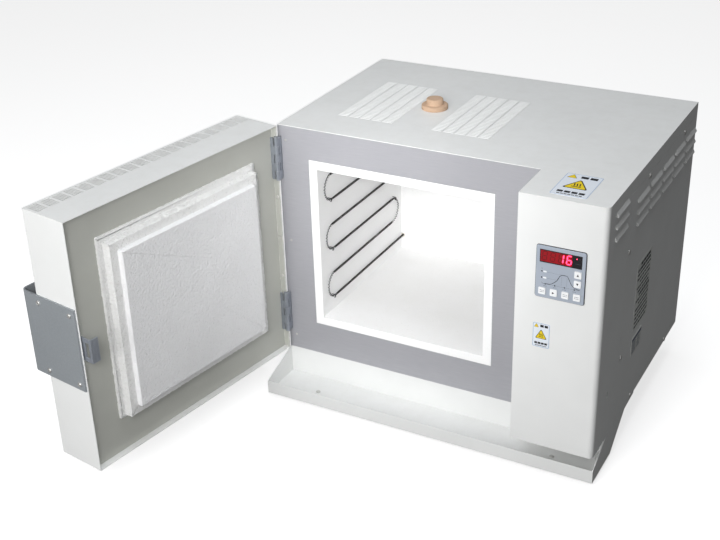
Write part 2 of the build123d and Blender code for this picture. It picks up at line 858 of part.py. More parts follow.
with BuildPart() as chimney_plug:
    disc_bottom = cabinet_height
    disc_top = disc_bottom + plug_disc_height
    rod(
        (chimney_x, chimney_y, disc_bottom - plug_stem_length),
        (0, 0, 1),
        chimney_bore - plug_clearance,
        plug_stem_length,
    )
    rod((chimney_x, chimney_y, disc_bottom), (0, 0, 1), plug_disc_radius, plug_disc_height)
    rod((chimney_x, chimney_y, disc_top), (0, 0, 1), plug_knob_radius, plug_knob_height)
    rims = chimney_plug.edges().filter_by(GeomType.CIRCLE)
    fillet(rims.filter_by(lambda edge: edge.center().Z > disc_bottom + 1).sort_by(Axis.Z)[-1], 1.6)
    disc_rim = chimney_plug.edges().filter_by(GeomType.CIRCLE).filter_by(
        lambda edge: abs(edge.center().Z - disc_top) < 0.1 and edge.radius > plug_disc_radius - 0.1
    )
    fillet(disc_rim, 1.6)
keep("chimney_plug", chimney_plug)

# --- Electrics on the partition and the chassis floor -----------------------------------------------
relay_x = (partition_x + sheet, partition_x + sheet + relay_depth)
with BuildPart() as power_relay:
    slab(relay_x, relay_y, relay_z)
    fillet(power_relay.edges().filter_by(Axis.X), 3.0)
keep("power_relay", power_relay)

with BuildPart() as heat_sink:
    sink_y = (relay_y[0] - 20.0, relay_y[1] + 20.0)
    sink_z = (relay_z[0] - sink_border, relay_z[1] + sink_border)
    fins_x = relay_x[1] + sink_base
    slab((relay_x[1], fins_x), sink_y, sink_z)
    for fin in range(fin_count):
        fin_y = sink_y[0] + 5.0 + fin * fin_pitch
        slab((fins_x, fins_x + fin_reach), (fin_y, fin_y + fin_sheet), sink_z)
keep("heat_sink", heat_sink)

with BuildPart() as terminal_block:
    block_right = gland_x + 5.0
    block_x = (block_right - terminal_size[0], block_right)
    block_y = (cabinet_depth - terminal_inset - terminal_size[1], cabinet_depth - terminal_inset)
    block_z = skirt_height + sheet
    ribs_z = block_z + terminal_size[2]
    slab(block_x, block_y, (block_z, ribs_z))
    for rib in range(terminal_ribs):
        rib_x = block_x[0] + rib * terminal_rib_pitch
        slab((rib_x, rib_x + 2.0), block_y, (ribs_z, ribs_z + terminal_rib_height))
keep("terminal_block", terminal_block)

with BuildPart() as cable_gland:
    rod((gland_x, cabinet_depth - 12.0, gland_z), (0, 1, 0), gland_radius, 12.0)
    with BuildSketch(Plane(origin=(gland_x, cabinet_depth, gland_z), z_dir=(0, 1, 0))):
        RegularPolygon(radius=12.5, side_count=6)
    extrude(amount=7.0)
    with BuildSketch(Plane(origin=(gland_x, cabinet_depth + 7.0, gland_z), z_dir=(0, 1, 0))):
        Circle(10.5)
    extrude(amount=9.0, taper=12)
    rod((gland_x, cabinet_depth - 20.0, gland_z), (0, 1, 0), 4.2, 60.0, Mode.SUBTRACT)
keep("cable_gland", cable_gland)

# --- Labels with plain pictograms -------------------------------------------------------------------
with BuildPart() as warning_labels:
    with BuildSketch(Plane.XY.offset(cabinet_height)):
        with Locations((cabinet_width - top_label_inset, top_label_y)):
            RectangleRounded(*top_label, 3.0)
    extrude(amount=label_thickness)
    with BuildSketch(Plane.XZ.offset(housing_reach)):
        with Locations((cabinet_width - front_label_inset, cabinet_height - front_label_drop)):
            RectangleRounded(*front_label, 2.0)
    extrude(amount=label_thickness)
keep("warning_labels", warning_labels)

with BuildPart() as side_plates:
    plate_bottom = skirt_height + rating_plate_rise
    plate_top = plate_bottom + rating_plate_height
    notice_x = (cabinet_width, cabinet_width + label_thickness)
    rating_plate_x = (cabinet_width, cabinet_width + 2 * label_thickness)
    slab(notice_x, notice_y, (plate_top + notice_rise, cover_top - notice_drop))
    slab(rating_plate_x, rating_plate_y, (plate_bottom, plate_top))
keep("side_plates", side_plates)


# --- Hinges: cabinet leaves, door leaves and pins ---------------------------------------------------
def hinge_leaves(first_knuckle, direction):
    """The leaf and knuckles of one side of both hinges; direction is +1 for the cabinet's side."""
    for height in hinge_heights:
        bottom = height - hinge_length / 2
        leaf_start = hinge_y + direction * (barrel_radius + gap)
        leaf_end = hinge_y + direction * leaf_reach
        slab(leaf_x, sorted((leaf_start, leaf_end)), (bottom, bottom + hinge_length))
        for knuckle in range(first_knuckle, knuckles, 2):
            z = bottom + knuckle * knuckle_length + gap / 2
            rod((hinge_x, hinge_y, z), (0, 0, 1), barrel_radius, knuckle_length - gap)
            slab(leaf_x, sorted((hinge_y, leaf_start)), (z, z + knuckle_length - gap))
        rod(
            (hinge_x, hinge_y, bottom - 1),
            (0, 0, 1),
            pin_radius + pin_clearance,
            hinge_length + 2,
            Mode.SUBTRACT,
        )


with BuildPart() as hinge_frame_leaves:
    hinge_leaves(0, 1)
keep("hinge_frame_leaves", hinge_frame_leaves)

with BuildPart() as hinge_door_leaves:
    hinge_leaves(1, -1)
keep_on_door("hinge_door_leaves", hinge_door_leaves)

with BuildPart() as hinge_pins:
    for height in hinge_heights:
        bottom = height - hinge_length / 2
        rod((hinge_x, hinge_y, bottom), (0, 0, 1), pin_radius, hinge_length)
        rod((hinge_x, hinge_y, bottom + hinge_length), (0, 0, 1), barrel_radius, 1.6)
        rod((hinge_x, hinge_y, bottom), (0, 0, -1), barrel_radius, 1.6)
keep("hinge_pins", hinge_pins)

# --- Door, modelled shut ----------------------------------------------------------------------------
barrel_clearance = 0.6
latch_outer = door_width - sheet - gap - latch_inset
latch_x = (latch_outer - latch_sheet, latch_outer)
latch_tip = rim_y + latch_reach
latch_z = (latch_bottom, latch_bottom + latch_height)
plate_x = (door_width, door_width + handle_plate)
handle_y = rim_y - handle_reach
handle_screws_at = [
    (y, handle_bottom + z)
    for y in (rim_y - 13.5, door_face_y + 6.5)
    for z in (10.0, handle_height - 12.0)
]
between_hinges = hinge_heights[1] - hinge_heights[0] - hinge_length
liner_screws_at = [
    (hinge_heights[0] + hinge_heights[1]) / 2 + side * between_hinges / 2.9 for side in (-1, 0, 1)
]
flange_y = (liner_y, rim_y - gap)


def clear_barrels():
    """Room in the open part for the hinge barrels and their end washers."""
    for height in hinge_heights:
        reach = hinge_length / 2 + 1.6 + barrel_clearance
        rod(
            (hinge_x, hinge_y, height - reach),
            (0, 0, 1),
            barrel_radius + barrel_clearance,
            2 * reach,
            Mode.SUBTRACT,
        )
        slab(
            (-1, hinge_x + 1),
            (hinge_y - barrel_radius - barrel_clearance, rim_y + 1),
            (height - reach, height + reach),
            Mode.SUBTRACT,
        )


def clear_door_leaves():
    """Slots in the open part for the door's hinge leaves."""
    for height in hinge_heights:
        slab(
            (leaf_x[0] - gap, leaf_x[1] + gap),
            (hinge_y - leaf_reach - gap, rim_y + 1),
            (height - hinge_length / 2 - gap, height + hinge_length / 2 + gap),
            Mode.SUBTRACT,
        )


with BuildPart() as door_shell:
    slab((0, door_width), (door_face_y, rim_y), (door_bottom, door_top))
    fillet(door_shell.edges().filter_by(Axis.Z).group_by(Axis.Y)[0], 2.0)
    slab(
        (sheet, door_width - sheet),
        (door_face_y + sheet, rim_y + 1),
        (door_bottom + sheet, door_top - sheet),
        Mode.SUBTRACT,
    )
    clear_barrels()
    vent_middle = (door_width / 2, rim_y - door_vent_y)
    with BuildSketch(Plane.XY.offset(door_bottom - 1)):
        with Locations(vent_middle):
            with GridLocations(door_vent_pitch, 1.0, door_vents, 1):
                with GridLocations(door_vent_slot_pitch, 1.0, door_vent_slots, 1):
                    SlotOverall(door_vent_length, door_vent_slot_width, rotation=90)
    extrude(amount=door_top - door_bottom + 2, mode=Mode.SUBTRACT)
    for y, z in handle_screws_at:
        rod((door_width - 10, y, z), (1, 0, 0), screw_hole, 20, Mode.SUBTRACT)
    for z in liner_screws_at:
        rod((-5, (liner_y + rim_y) / 2, z), (1, 0, 0), screw_hole, 10, Mode.SUBTRACT)
keep_on_door("door_shell", door_shell)

with BuildPart() as door_liner:
    liner_left = sheet + gap
    liner_x = (liner_left, door_width - sheet - gap)
    liner_z = (door_bottom + sheet + gap, door_top - sheet - gap)
    slab(liner_x, (liner_y - sheet, liner_y), liner_z)
    slab((liner_left, liner_left + sheet), flange_y, liner_z)
    clear_barrels()
    clear_door_leaves()
    slab(
        (latch_x[0] - 4.0, latch_x[1] + 1.0),
        (liner_y - 5, liner_y + 1),
        (latch_bottom - 1.0, latch_bottom + latch_height + latch_travel + 3.0),
        Mode.SUBTRACT,
    )
    for z in liner_screws_at:
        rod((-5, (liner_y + rim_y) / 2, z), (1, 0, 0), screw_hole, 10, Mode.SUBTRACT)
keep_on_door("door_liner", door_liner)

with BuildPart() as liner_screws:
    for z in liner_screws_at:
        with BuildSketch(Plane(origin=(liner_left + sheet, (liner_y + rim_y) / 2, z), z_dir=(1, 0, 0))):
            Circle(3.0)
        extrude(amount=1.4, taper=15)
        rod((0.1, (liner_y + rim_y) / 2, z), (1, 0, 0), screw_radius, liner_left + sheet)
keep_on_door("liner_screws", liner_screws)

with BuildPart() as door_insulation:
    fill_y = liner_y - sheet - gap
    slab(
        (door_fill_inset, door_width - door_fill_inset),
        (fill_y - door_fill_thickness, fill_y),
        (door_bottom + door_fill_inset, door_top - door_fill_inset),
    )
keep_on_door("door_insulation", door_insulation)

seal_x = (chamber_left - seal_overlap, chamber_right + seal_overlap)
seal_z = (chamber_floor - seal_overlap, chamber_roof + seal_overlap)
blanket_face = liner_y + blanket_thickness
seal_face = -seal_clearance
with BuildPart() as plug_blanket:
    slab(
        (seal_x[0] - blanket_border, seal_x[1] + blanket_border),
        (liner_y, blanket_face),
        (seal_z[0] - blanket_border / 2, seal_z[1] + blanket_border),
    )
    fillet(plug_blanket.edges().filter_by(Axis.Y), 4.0)
keep_on_door("plug_blanket", plug_blanket)

with BuildPart() as plug_seal_board:
    slab(seal_x, (blanket_face, seal_face), seal_z)
    fillet(plug_seal_board.edges().filter_by(Axis.Y), 1.5)
keep_on_door("plug_seal_board", plug_seal_board)

with BuildPart() as plug_face_board:
    slab(
        (chamber_left + plug_margin, chamber_right - plug_margin),
        (seal_face, seal_face + plug_depth),
        (chamber_floor + plug_margin, chamber_roof - plug_margin),
    )
    chamfer(plug_face_board.faces().sort_by(Axis.Y)[-1].edges(), 1.0)
keep_on_door("plug_face_board", plug_face_board)

with BuildPart() as handle_pull:
    plate_inner = handle_y + handle_plate
    return_x = plate_x[1] - handle_return
    with BuildSketch(Plane.XY.offset(handle_bottom)) as pull_section:
        with BuildLine():
            Polyline(
                (plate_x[0], rim_y - 2.0),
                (plate_x[1], rim_y - 2.0),
                (plate_x[1], handle_y),
                (return_x, handle_y),
                (return_x, plate_inner),
                (plate_x[0], plate_inner),
                close=True,
            )
        make_face()
        corners = pull_section.vertices()
        fillet(corners.sort_by_distance((plate_x[1], handle_y, handle_bottom))[0], handle_bend)
        corners = pull_section.vertices()
        fillet(
            corners.sort_by_distance((plate_x[0], plate_inner, handle_bottom))[0],
            handle_bend - handle_plate,
        )
    extrude(amount=handle_height)
    for y, z in handle_screws_at:
        rod((door_width - 10, y, z), (1, 0, 0), screw_hole, 20, Mode.SUBTRACT)
keep_on_door("handle_pull", handle_pull)

with BuildPart() as handle_screws:
    for y, z in handle_screws_at:
        screw((door_width + handle_plate, y, z), (1, 0, 0), handle_plate + sheet)
keep_on_door("handle_screws", handle_screws)

with BuildPart() as door_latch:
    slab(latch_x, (liner_y - 12.0, latch_tip), latch_z)
    slab((latch_x[1] - latch_hook, latch_x[1]), (latch_tip - latch_sheet, latch_tip), latch_z)
    slab(
        (latch_x[0] - 1, latch_x[1] + 1),
        (rim_y + 3.5, latch_tip - 5.0),
        (latch_bottom + 7.0, latch_bottom + latch_height - 7.0),
        Mode.SUBTRACT,
    )
keep_on_door("door_latch", door_latch)

with BuildPart() as latch_keeper:
    keeper_x = (latch_x[1] + 2.0, partition_x - gap)
    keeper_z = (latch_bottom - 4.0, latch_bottom + latch_height + 4.0)
    slab(keeper_x, (sheet + gap, 22.0), keeper_z)
    nose_y = (rim_y + 3.5 + latch_tip - 5.0) / 2 + 3.5
    rod((keeper_x[0], nose_y, latch_bottom + latch_height / 2), (-1, 0, 0), 2.5, 1.2)
keep("latch_keeper", latch_keeper)

# --- Origin at the middle of the floor space with the door standing open, then one file per piece ---
boxes = [piece.bounding_box() for piece in pieces.values()]
middle_x = (min(box.min.X for box in boxes) + max(box.max.X for box in boxes)) / 2
middle_y = (min(box.min.Y for box in boxes) + max(box.max.Y for box in boxes)) / 2
to_origin = Location((-middle_x, -middle_y, 0))

for label, piece in pieces.items():
    placed = piece.moved(to_origin)
    placed.label = label
    export_step(placed, f"parts/{label}.step")

print(f"{len(pieces)} pieces; cabinet corner at {-middle_x:.4f}, {-middle_y:.4f}")
print(f"door hinge axis at {hinge_x - middle_x:.4f}, {hinge_y - middle_y:.4f}")
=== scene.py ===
"""Looks of a bench-top pottery kiln that stands with its side-hung door open.

Pieces are modelled in the kiln's own millimetres: X to the right along the front, Y to the back
and Z up from the bench, from the cabinet's left side and its steel front panel. Pieces on the
door are modelled as if it were shut, and are swung open with it.
"""

import json
import logging
import math
import random
from dataclasses import dataclass, field
from enum import Enum
from typing import Callable, Iterable, Sequence

import bmesh
import bpy
from mathutils import Matrix, Vector, noise


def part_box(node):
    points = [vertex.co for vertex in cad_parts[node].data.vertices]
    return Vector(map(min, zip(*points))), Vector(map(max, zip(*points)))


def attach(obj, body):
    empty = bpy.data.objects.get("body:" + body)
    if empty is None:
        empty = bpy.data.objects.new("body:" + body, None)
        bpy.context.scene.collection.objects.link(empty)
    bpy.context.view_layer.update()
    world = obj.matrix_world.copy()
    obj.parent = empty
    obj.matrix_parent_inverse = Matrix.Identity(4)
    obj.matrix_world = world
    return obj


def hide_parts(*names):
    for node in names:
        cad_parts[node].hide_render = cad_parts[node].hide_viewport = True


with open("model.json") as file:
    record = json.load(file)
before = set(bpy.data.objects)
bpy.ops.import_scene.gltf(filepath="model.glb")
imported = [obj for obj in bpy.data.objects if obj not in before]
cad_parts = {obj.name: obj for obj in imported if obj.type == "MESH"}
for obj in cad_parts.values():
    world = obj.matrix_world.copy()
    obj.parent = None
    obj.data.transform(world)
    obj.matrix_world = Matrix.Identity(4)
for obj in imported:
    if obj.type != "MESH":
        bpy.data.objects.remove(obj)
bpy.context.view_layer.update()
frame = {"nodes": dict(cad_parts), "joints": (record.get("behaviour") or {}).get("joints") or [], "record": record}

log = logging.getLogger("kiln")

MM = 0.001
Point = tuple[float, float, float]
Flat = tuple[float, float]
Srgb = tuple[int, int, int]


# --- Where things are -------------------------------------------------------------------------------
class Body(Enum):
    """The moving bodies that pieces ride on."""

    CABINET = "cabinet"
    DOOR = "door"
    LATCH = "latch"
    CHIMNEY_PLUG = "chimney_plug"


@dataclass(frozen=True)
class KilnAxes:
    """The kiln's own millimetre axes, placed in the frame's metres.

    Args:
        corner: the cabinet's left side, front panel and bench.
        hinge: a point on the door's hinge pins.
        swing: how far the door stands open, in radians.
    """

    corner: Vector
    hinge: Vector
    swing: float

    @classmethod
    def from_frame(cls) -> "KilnAxes":
        """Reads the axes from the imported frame.

        Returns:
            The axes, from the front panel's box and the door's hinge joint.
        """
        low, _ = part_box("front_panel")
        hinge = next(j for j in frame["joints"] if j["name"] == "door_hinge")
        return cls(
            Vector((low.x, low.y, 0.0)),
            Vector(hinge["pos_m"]),
            math.radians(hinge["range_deg"][1]),
        )

    def cabinet(self) -> Matrix:
        """From the kiln's millimetres to the frame's metres."""
        return Matrix.Translation(self.corner) @ Matrix.Scale(MM, 4)

    def door(self) -> Matrix:
        """From the shut door's millimetres to where the door stands open.

        Returns:
            The matrix, which swings the door about its pins.
        """
        swung = Matrix.Rotation(-self.swing, 4, "Z")
        about_pins = Matrix.Translation(self.hinge) @ swung @ Matrix.Translation(-self.hinge)
        return about_pins @ self.cabinet()

    def of(self, body: Body) -> Matrix:
        """The axes that a body's pieces are modelled in."""
        return self.door() if body in (Body.DOOR, Body.LATCH) else self.cabinet()


AXES = KilnAxes.from_frame()
INSIDE_CABINET = Vector((300.0, 150.0, 280.0))


def solids_of(node: str, axes: Matrix) -> list[tuple[Vector, Vector]]:
    """Finds the separate solids of a node.

    Args:
        node: the node's name.
        axes: the axes to measure in.

    Returns:
        The lowest and highest corner of each solid, in millimetres.
    """
    mesh = bmesh.new()
    mesh.from_mesh(frame["nodes"][node].data)
    bmesh.ops.remove_doubles(mesh, verts=mesh.verts, dist=1e-6)
    mesh.transform(axes.inverted())
    left, boxes = set(mesh.verts), []
    while left:
        reached, edge = set(), [left.pop()]
        while edge:
            vertex = edge.pop()
            reached.add(vertex)
            near = {e.other_vert(vertex) for e in vertex.link_edges} - reached
            edge.extend(near & left)
            left -= near
        corners = [v.co for v in reached]
        low = Vector(min(c[i] for c in corners) for i in range(3))
        high = Vector(max(c[i] for c in corners) for i in range(3))
        boxes.append((low, high))
    mesh.free()
    return sorted(boxes, key=lambda box: tuple(round(c, 2) for c in box[0]))


def node_box(node: str, axes: Matrix) -> tuple[Vector, Vector]:
    """Measures a node.

    Args:
        node: the node's name.
        axes: the axes to measure in.

    Returns:
        Its lowest and highest corner, in millimetres.
    """
    turn = axes.inverted()
    corners = [turn @ v.co for v in frame["nodes"][node].data.vertices]
    low = Vector(min(c[i] for c in corners) for i in range(3))
    high = Vector(max(c[i] for c in corners) for i in range(3))
    return low, high


# --- Shader effects that several finishes share -----------------------------------------------------
class Effect(Enum):
    """The shared node groups."""

    GRAIN = "fine_grain"
    EDGE_WEAR = "edge_wear"
    DUST = "settled_dust"
    LINES = "rolling_lines"
    FIBRES = "fibre_mat"


class Nodes:
    """Adds and joins nodes in one tree.

    Args:
        tree: the node tree to work in.
    """

    def __init__(self, tree: bpy.types.NodeTree) -> None:
        """Keeps the tree."""
        self.tree = tree

    def add(self, kind: str, inputs: dict | None = None, **settings: object) -> bpy.types.Node:
        """Adds one node.

        Args:
            kind: the node's type.
            inputs: values or output sockets for its inputs, by name or number.
            settings: the node's own properties.

        Returns:
            The new node.
        """
        node = self.tree.nodes.new(kind)
        for key, value in settings.items():
            setattr(node, key, value)
        for key, value in (inputs or {}).items():
            if isinstance(value, bpy.types.NodeSocket):
                self.tree.links.new(value, node.inputs[key])
            else:
                node.inputs[key].default_value = value
        return node

    def sum(self, operation: str, a: object, b: object) -> bpy.types.NodeSocket:
        """A sum on two values or sockets."""
        node = self.add("ShaderNodeMath", {0: a, 1: b}, operation=operation)
        return node.outputs[0]

    def spread(self, value: object, low: float, high: float) -> bpy.types.NodeSocket:
        """Stretches a noise between two levels to a mask from 0 to 1."""
        node = self.add("ShaderNodeMapRange", {"Value": value, "From Min": low, "From Max": high})
        return node.outputs["Result"]

    def blend(self, mask: object, a: object, b: object) -> bpy.types.NodeSocket:
        """Mixes two colours by a mask."""
        node = self.add("ShaderNodeMix", {0: mask, 6: a, 7: b}, data_type="RGBA")
        return node.outputs[2]


class EffectShop:
    """Builds each shared node group once, and hands it out after that."""

    def __init__(self) -> None:
        """Starts with nothing built."""
        self.built: dict[Effect, bpy.types.NodeTree] = {}

    def group(self, effect: Effect) -> bpy.types.NodeTree:
        """The node group of an effect.

        Args:
            effect: the effect that is wanted.

        Returns:
            Its node group, built at the first call.
        """
        if effect not in self.built:
            makers = {
                Effect.GRAIN: self.fine_grain,
                Effect.EDGE_WEAR: self.edge_wear,
                Effect.DUST: self.settled_dust,
                Effect.LINES: self.rolling_lines,
                Effect.FIBRES: self.fibre_mat,
            }
            self.built[effect] = makers[effect](effect.value)
        return self.built[effect]

    def start(self, name: str, inputs: Sequence[str], outputs: Sequence[str]) -> tuple:
        """Starts a node group.

        Args:
            name: the group's name.
            inputs: names of its value inputs.
            outputs: names of its value outputs.

        Returns:
            Its tree, its nodes, its input node and its output node.
        """
        tree = bpy.data.node_groups.new(name, "ShaderNodeTree")
        for label in inputs:
            tree.interface.new_socket(name=label, in_out="INPUT", socket_type="NodeSocketFloat")
        for label in outputs:
            tree.interface.new_socket(name=label, in_out="OUTPUT", socket_type="NodeSocketFloat")
        nodes = Nodes(tree)
        return tree, nodes, nodes.add("NodeGroupInput"), nodes.add("NodeGroupOutput")

    def fine_grain(self, name: str) -> bpy.types.NodeTree:
        """Orange peel of a stoved or moulded surface, with broad mottling.

        Args:
            name: the node group's name.

        Returns:
            The finished node group.
        """
        tree, nodes, given, out = self.start(name, ("Scale", "Mottle"), ("Height", "Mottling"))
        place = nodes.add("ShaderNodeTexCoord").outputs["Object"]
        fine = nodes.add(
            "ShaderNodeTexNoise",
            {"Vector": place, "Scale": given.outputs["Scale"], "Detail": 2.0},
        )
        broad = nodes.add("ShaderNodeTexNoise", {"Vector": place, "Scale": 9.0, "Detail": 3.0})
        mask = nodes.spread(broad.outputs["Fac"], 0.35, 0.68)
        tree.links.new(fine.outputs["Fac"], out.inputs["Height"])
        strength = nodes.sum("MULTIPLY", mask, given.outputs["Mottle"])
        tree.links.new(strength, out.inputs["Mottling"])
        return tree

    def edge_wear(self, name: str) -> bpy.types.NodeTree:
        """Where corners are rubbed or catch a painted highlight, broken up by a noise.

        Args:
            name: the node group's name.

        Returns:
            The finished node group.
        """
        tree, nodes, given, out = self.start(name, ("Radius", "Amount"), ("Wear",))
        rounded = nodes.add("ShaderNodeBevel", {"Radius": given.outputs["Radius"]}, samples=4)
        flat = nodes.add("ShaderNodeNewGeometry").outputs["Normal"]
        turn = nodes.add(
            "ShaderNodeVectorMath",
            {0: rounded.outputs[0], 1: flat},
            operation="DOT_PRODUCT",
        )
        # A mask on edges and folds, used both for rubbed wear and for a painted highlight.
        corner = nodes.spread(turn.outputs["Value"], 0.995, 0.86)
        place = nodes.add("ShaderNodeTexCoord").outputs["Object"]
        patches = nodes.add("ShaderNodeTexNoise", {"Vector": place, "Scale": 130.0, "Detail": 5.0})
        broken = nodes.sum("MULTIPLY", corner, nodes.spread(patches.outputs["Fac"], 0.3, 0.55))
        tree.links.new(
            nodes.sum("MULTIPLY", broken, given.outputs["Amount"]), out.inputs["Wear"]
        )
        return tree

    def settled_dust(self, name: str) -> bpy.types.NodeTree:
        """A thin dust on whatever faces up.

        Args:
            name: the node group's name.

        Returns:
            The finished node group.
        """
        tree, nodes, given, out = self.start(name, ("Scale", "Amount"), ("Dust",))
        facing = nodes.add("ShaderNodeNewGeometry").outputs["Normal"]
        up = nodes.add("ShaderNodeSeparateXYZ", {0: facing}).outputs["Z"]
        level = nodes.spread(up, 0.5, 1.0)
        place = nodes.add("ShaderNodeTexCoord").outputs["Object"]
        drift = nodes.add(
            "ShaderNodeTexNoise",
            {"Vector": place, "Scale": given.outputs["Scale"], "Detail": 6.0, "Roughness": 0.7},
        )
        specks = nodes.sum("MULTIPLY", level, nodes.spread(drift.outputs["Fac"], 0.42, 0.75))
        tree.links.new(
            nodes.sum("MULTIPLY", specks, given.outputs["Amount"]), out.inputs["Dust"]
        )
        return tree

    def rolling_lines(self, name: str) -> bpy.types.NodeTree:
        """Fine lines left by rolling or brushing, along one of the kiln's axes.

        Args:
            name: the node group's name.

        Returns:
            The finished node group.
        """
        inputs = ("Scale X", "Scale Y", "Scale Z")
        tree, nodes, given, out = self.start(name, inputs, ("Height", "Streaks"))
        place = nodes.add("ShaderNodeTexCoord").outputs["Object"]
        scales = nodes.add(
            "ShaderNodeCombineXYZ", {i: given.outputs[label] for i, label in enumerate(inputs)}
        )
        drawn = nodes.add(
            "ShaderNodeVectorMath", {0: place, 1: scales.outputs[0]}, operation="MULTIPLY"
        )
        lines = nodes.add(
            "ShaderNodeTexNoise",
            {"Vector": drawn.outputs[0], "Scale": 1.0, "Detail": 4.0, "Roughness": 0.65},
        )
        tree.links.new(lines.outputs["Fac"], out.inputs["Height"])
        streaks = nodes.spread(lines.outputs["Fac"], 0.3, 0.7)
        tree.links.new(streaks, out.inputs["Streaks"])
        return tree

    def fibre_mat(self, name: str) -> bpy.types.NodeTree:
        """Pebbled face of vacuum-formed fibre, with stray fibres and small pits.

        Args:
            name: the node group's name.

        Returns:
            The finished node group.
        """
        tree, nodes, given, out = self.start(name, ("Scale",), ("Height", "Pits"))
        place = nodes.add("ShaderNodeTexCoord").outputs["Object"]
        pebbles = nodes.add(
            "ShaderNodeTexNoise",
            {"Vector": place, "Scale": given.outputs["Scale"], "Detail": 6.0, "Roughness": 0.62},
        )
        tufts = nodes.add(
            "ShaderNodeTexVoronoi", {"Vector": place, "Scale": given.outputs["Scale"]}
        )
        height = nodes.sum("SUBTRACT", pebbles.outputs["Fac"], nodes.sum(
            "MULTIPLY", tufts.outputs["Distance"], 0.35
        ))
        tree.links.new(height, out.inputs["Height"])
        pits = nodes.add("ShaderNodeTexNoise", {"Vector": place, "Scale": 260.0, "Detail": 3.0})
        tree.links.new(nodes.spread(pits.outputs["Fac"], 0.62, 0.78), out.inputs["Pits"])
        return tree


EFFECTS = EffectShop()


# --- Finishes ---------------------------------------------------------------------------------------
def tone(colour: Srgb) -> tuple[float, float, float, float]:
    """A screen colour from 0 to 255 as a linear colour with full opacity.

    Args:
        colour: red, green and blue.

    Returns:
        The linear colour, with an opacity of 1.
    """
    linear = []
    for part in colour:
        share = part / 255.0
        linear.append(share / 12.92 if share <= 0.04045 else ((share + 0.055) / 1.055) ** 2.4)
    return (*linear, 1.0)


@dataclass(frozen=True)
class Finish:
    """What every finish has.

    Args:
        slot: the record's material slot, which also names the material.
        colour: the main colour.
        second: the colour that its mottling, streaks or pits turn to.
        roughness: how matt it is, from 0 to 1.
    """

    slot: str
    colour: Srgb
    second: Srgb
    roughness: float

    def material(self) -> bpy.types.Material:
        """Builds the material, or finds it if it was built before.

        Returns:
            The material, named after the slot.
        """
        name = f"{self.slot}_finish"
        if name in bpy.data.materials:
            return bpy.data.materials[name]
        made = bpy.data.materials.new(name)
        made.use_nodes = True
        made.node_tree.nodes.clear()
        nodes = Nodes(made.node_tree)
        surface = nodes.add("ShaderNodeBsdfPrincipled", {"Roughness": self.roughness})
        nodes.add("ShaderNodeOutputMaterial", {"Surface": surface.outputs[0]})
        self.dress(nodes, surface)
        return made

    def dress(self, nodes: Nodes, surface: bpy.types.Node) -> None:
        """Adds the finish's own nodes to the shader."""
        raise NotImplementedError

    def use(self, nodes: Nodes, effect: Effect, values: dict) -> bpy.types.Node:
        """Places a shared effect in this material."""
        return nodes.add("ShaderNodeGroup", values, node_tree=EFFECTS.group(effect))

    def vary(self, nodes: Nodes, surface: bpy.types.Node, mask: object, rougher: float) -> None:
        """Lets a mask move the roughness up from the finish's own value.

        Args:
            nodes: the material's nodes.
            surface: its shader.
            mask: the output that holds the mask.
            rougher: how much roughness a full mask adds.
        """
        more = nodes.sum("MULTIPLY", mask, rougher)
        level = nodes.sum("ADD", more, self.roughness)
        nodes.tree.links.new(level, surface.inputs["Roughness"])

    def bump(
        self,
        nodes: Nodes,
        surface: bpy.types.Node,
        height: object,
        depth: float,
        rounding: float = 0.0,
    ) -> None:
        """Raises the surface by a height.

        Args:
            nodes: the material's nodes.
            surface: its shader.
            height: the output that holds the height.
            depth: how deep the texture is, in metres.
            rounding: radius that sharp folds look rounded to, in metres.
        """
        inputs = {"Height": height, "Distance": depth, "Strength": 1.0}
        if rounding:
            soft = nodes.add("ShaderNodeBevel", {"Radius": rounding}, samples=4)
            inputs["Normal"] = soft.outputs[0]
        made = nodes.add("ShaderNodeBump", inputs)
        nodes.tree.links.new(made.outputs[0], surface.inputs["Normal"])


@dataclass(frozen=True)
class StovedPaint(Finish):
    """Paint baked on sheet steel: orange peel, folds painted lighter partly as rubbed paint and partly as a
    painted highlight, and a little dust.

    Args:
        peel: depth of the orange peel, in metres.
        worn_and_highlighted: how much the folds are painted lighter, partly as rubbed paint and partly as a
            painted highlight.
        dusty: how much dust lies on what faces up.
    """

    peel: float = 0.00002
    worn_and_highlighted: float = 0.8
    dusty: float = 0.12

    def dress(self, nodes: Nodes, surface: bpy.types.Node) -> None:
        """Adds the paint's nodes.

        Args:
            nodes: the material's nodes.
            surface: its shader.
        """
        grain = self.use(nodes, Effect.GRAIN, {"Scale": 520.0, "Mottle": 1.0})
        wear_and_highlight = self.use(nodes, Effect.EDGE_WEAR, {"Radius": 0.0012, "Amount": self.worn_and_highlighted})
        dust = self.use(nodes, Effect.DUST, {"Scale": 45.0, "Amount": self.dusty})
        colour = nodes.blend(grain.outputs["Mottling"], tone(self.colour), tone(self.second))
        # Folds and edges painted near white: partly rubbed paint, partly a painted highlight.
        colour = nodes.blend(wear_and_highlight.outputs["Wear"], colour, tone((246, 246, 244)))
        colour = nodes.blend(dust.outputs["Dust"], colour, tone((196, 192, 184)))
        nodes.tree.links.new(colour, surface.inputs["Base Color"])
        self.vary(nodes, surface, grain.outputs["Mottling"], 0.08)
        surface.inputs["Coat Weight"].default_value = 0.18
        surface.inputs["Coat Roughness"].default_value = 0.22
        self.bump(nodes, surface, grain.outputs["Height"], self.peel, 0.0008)


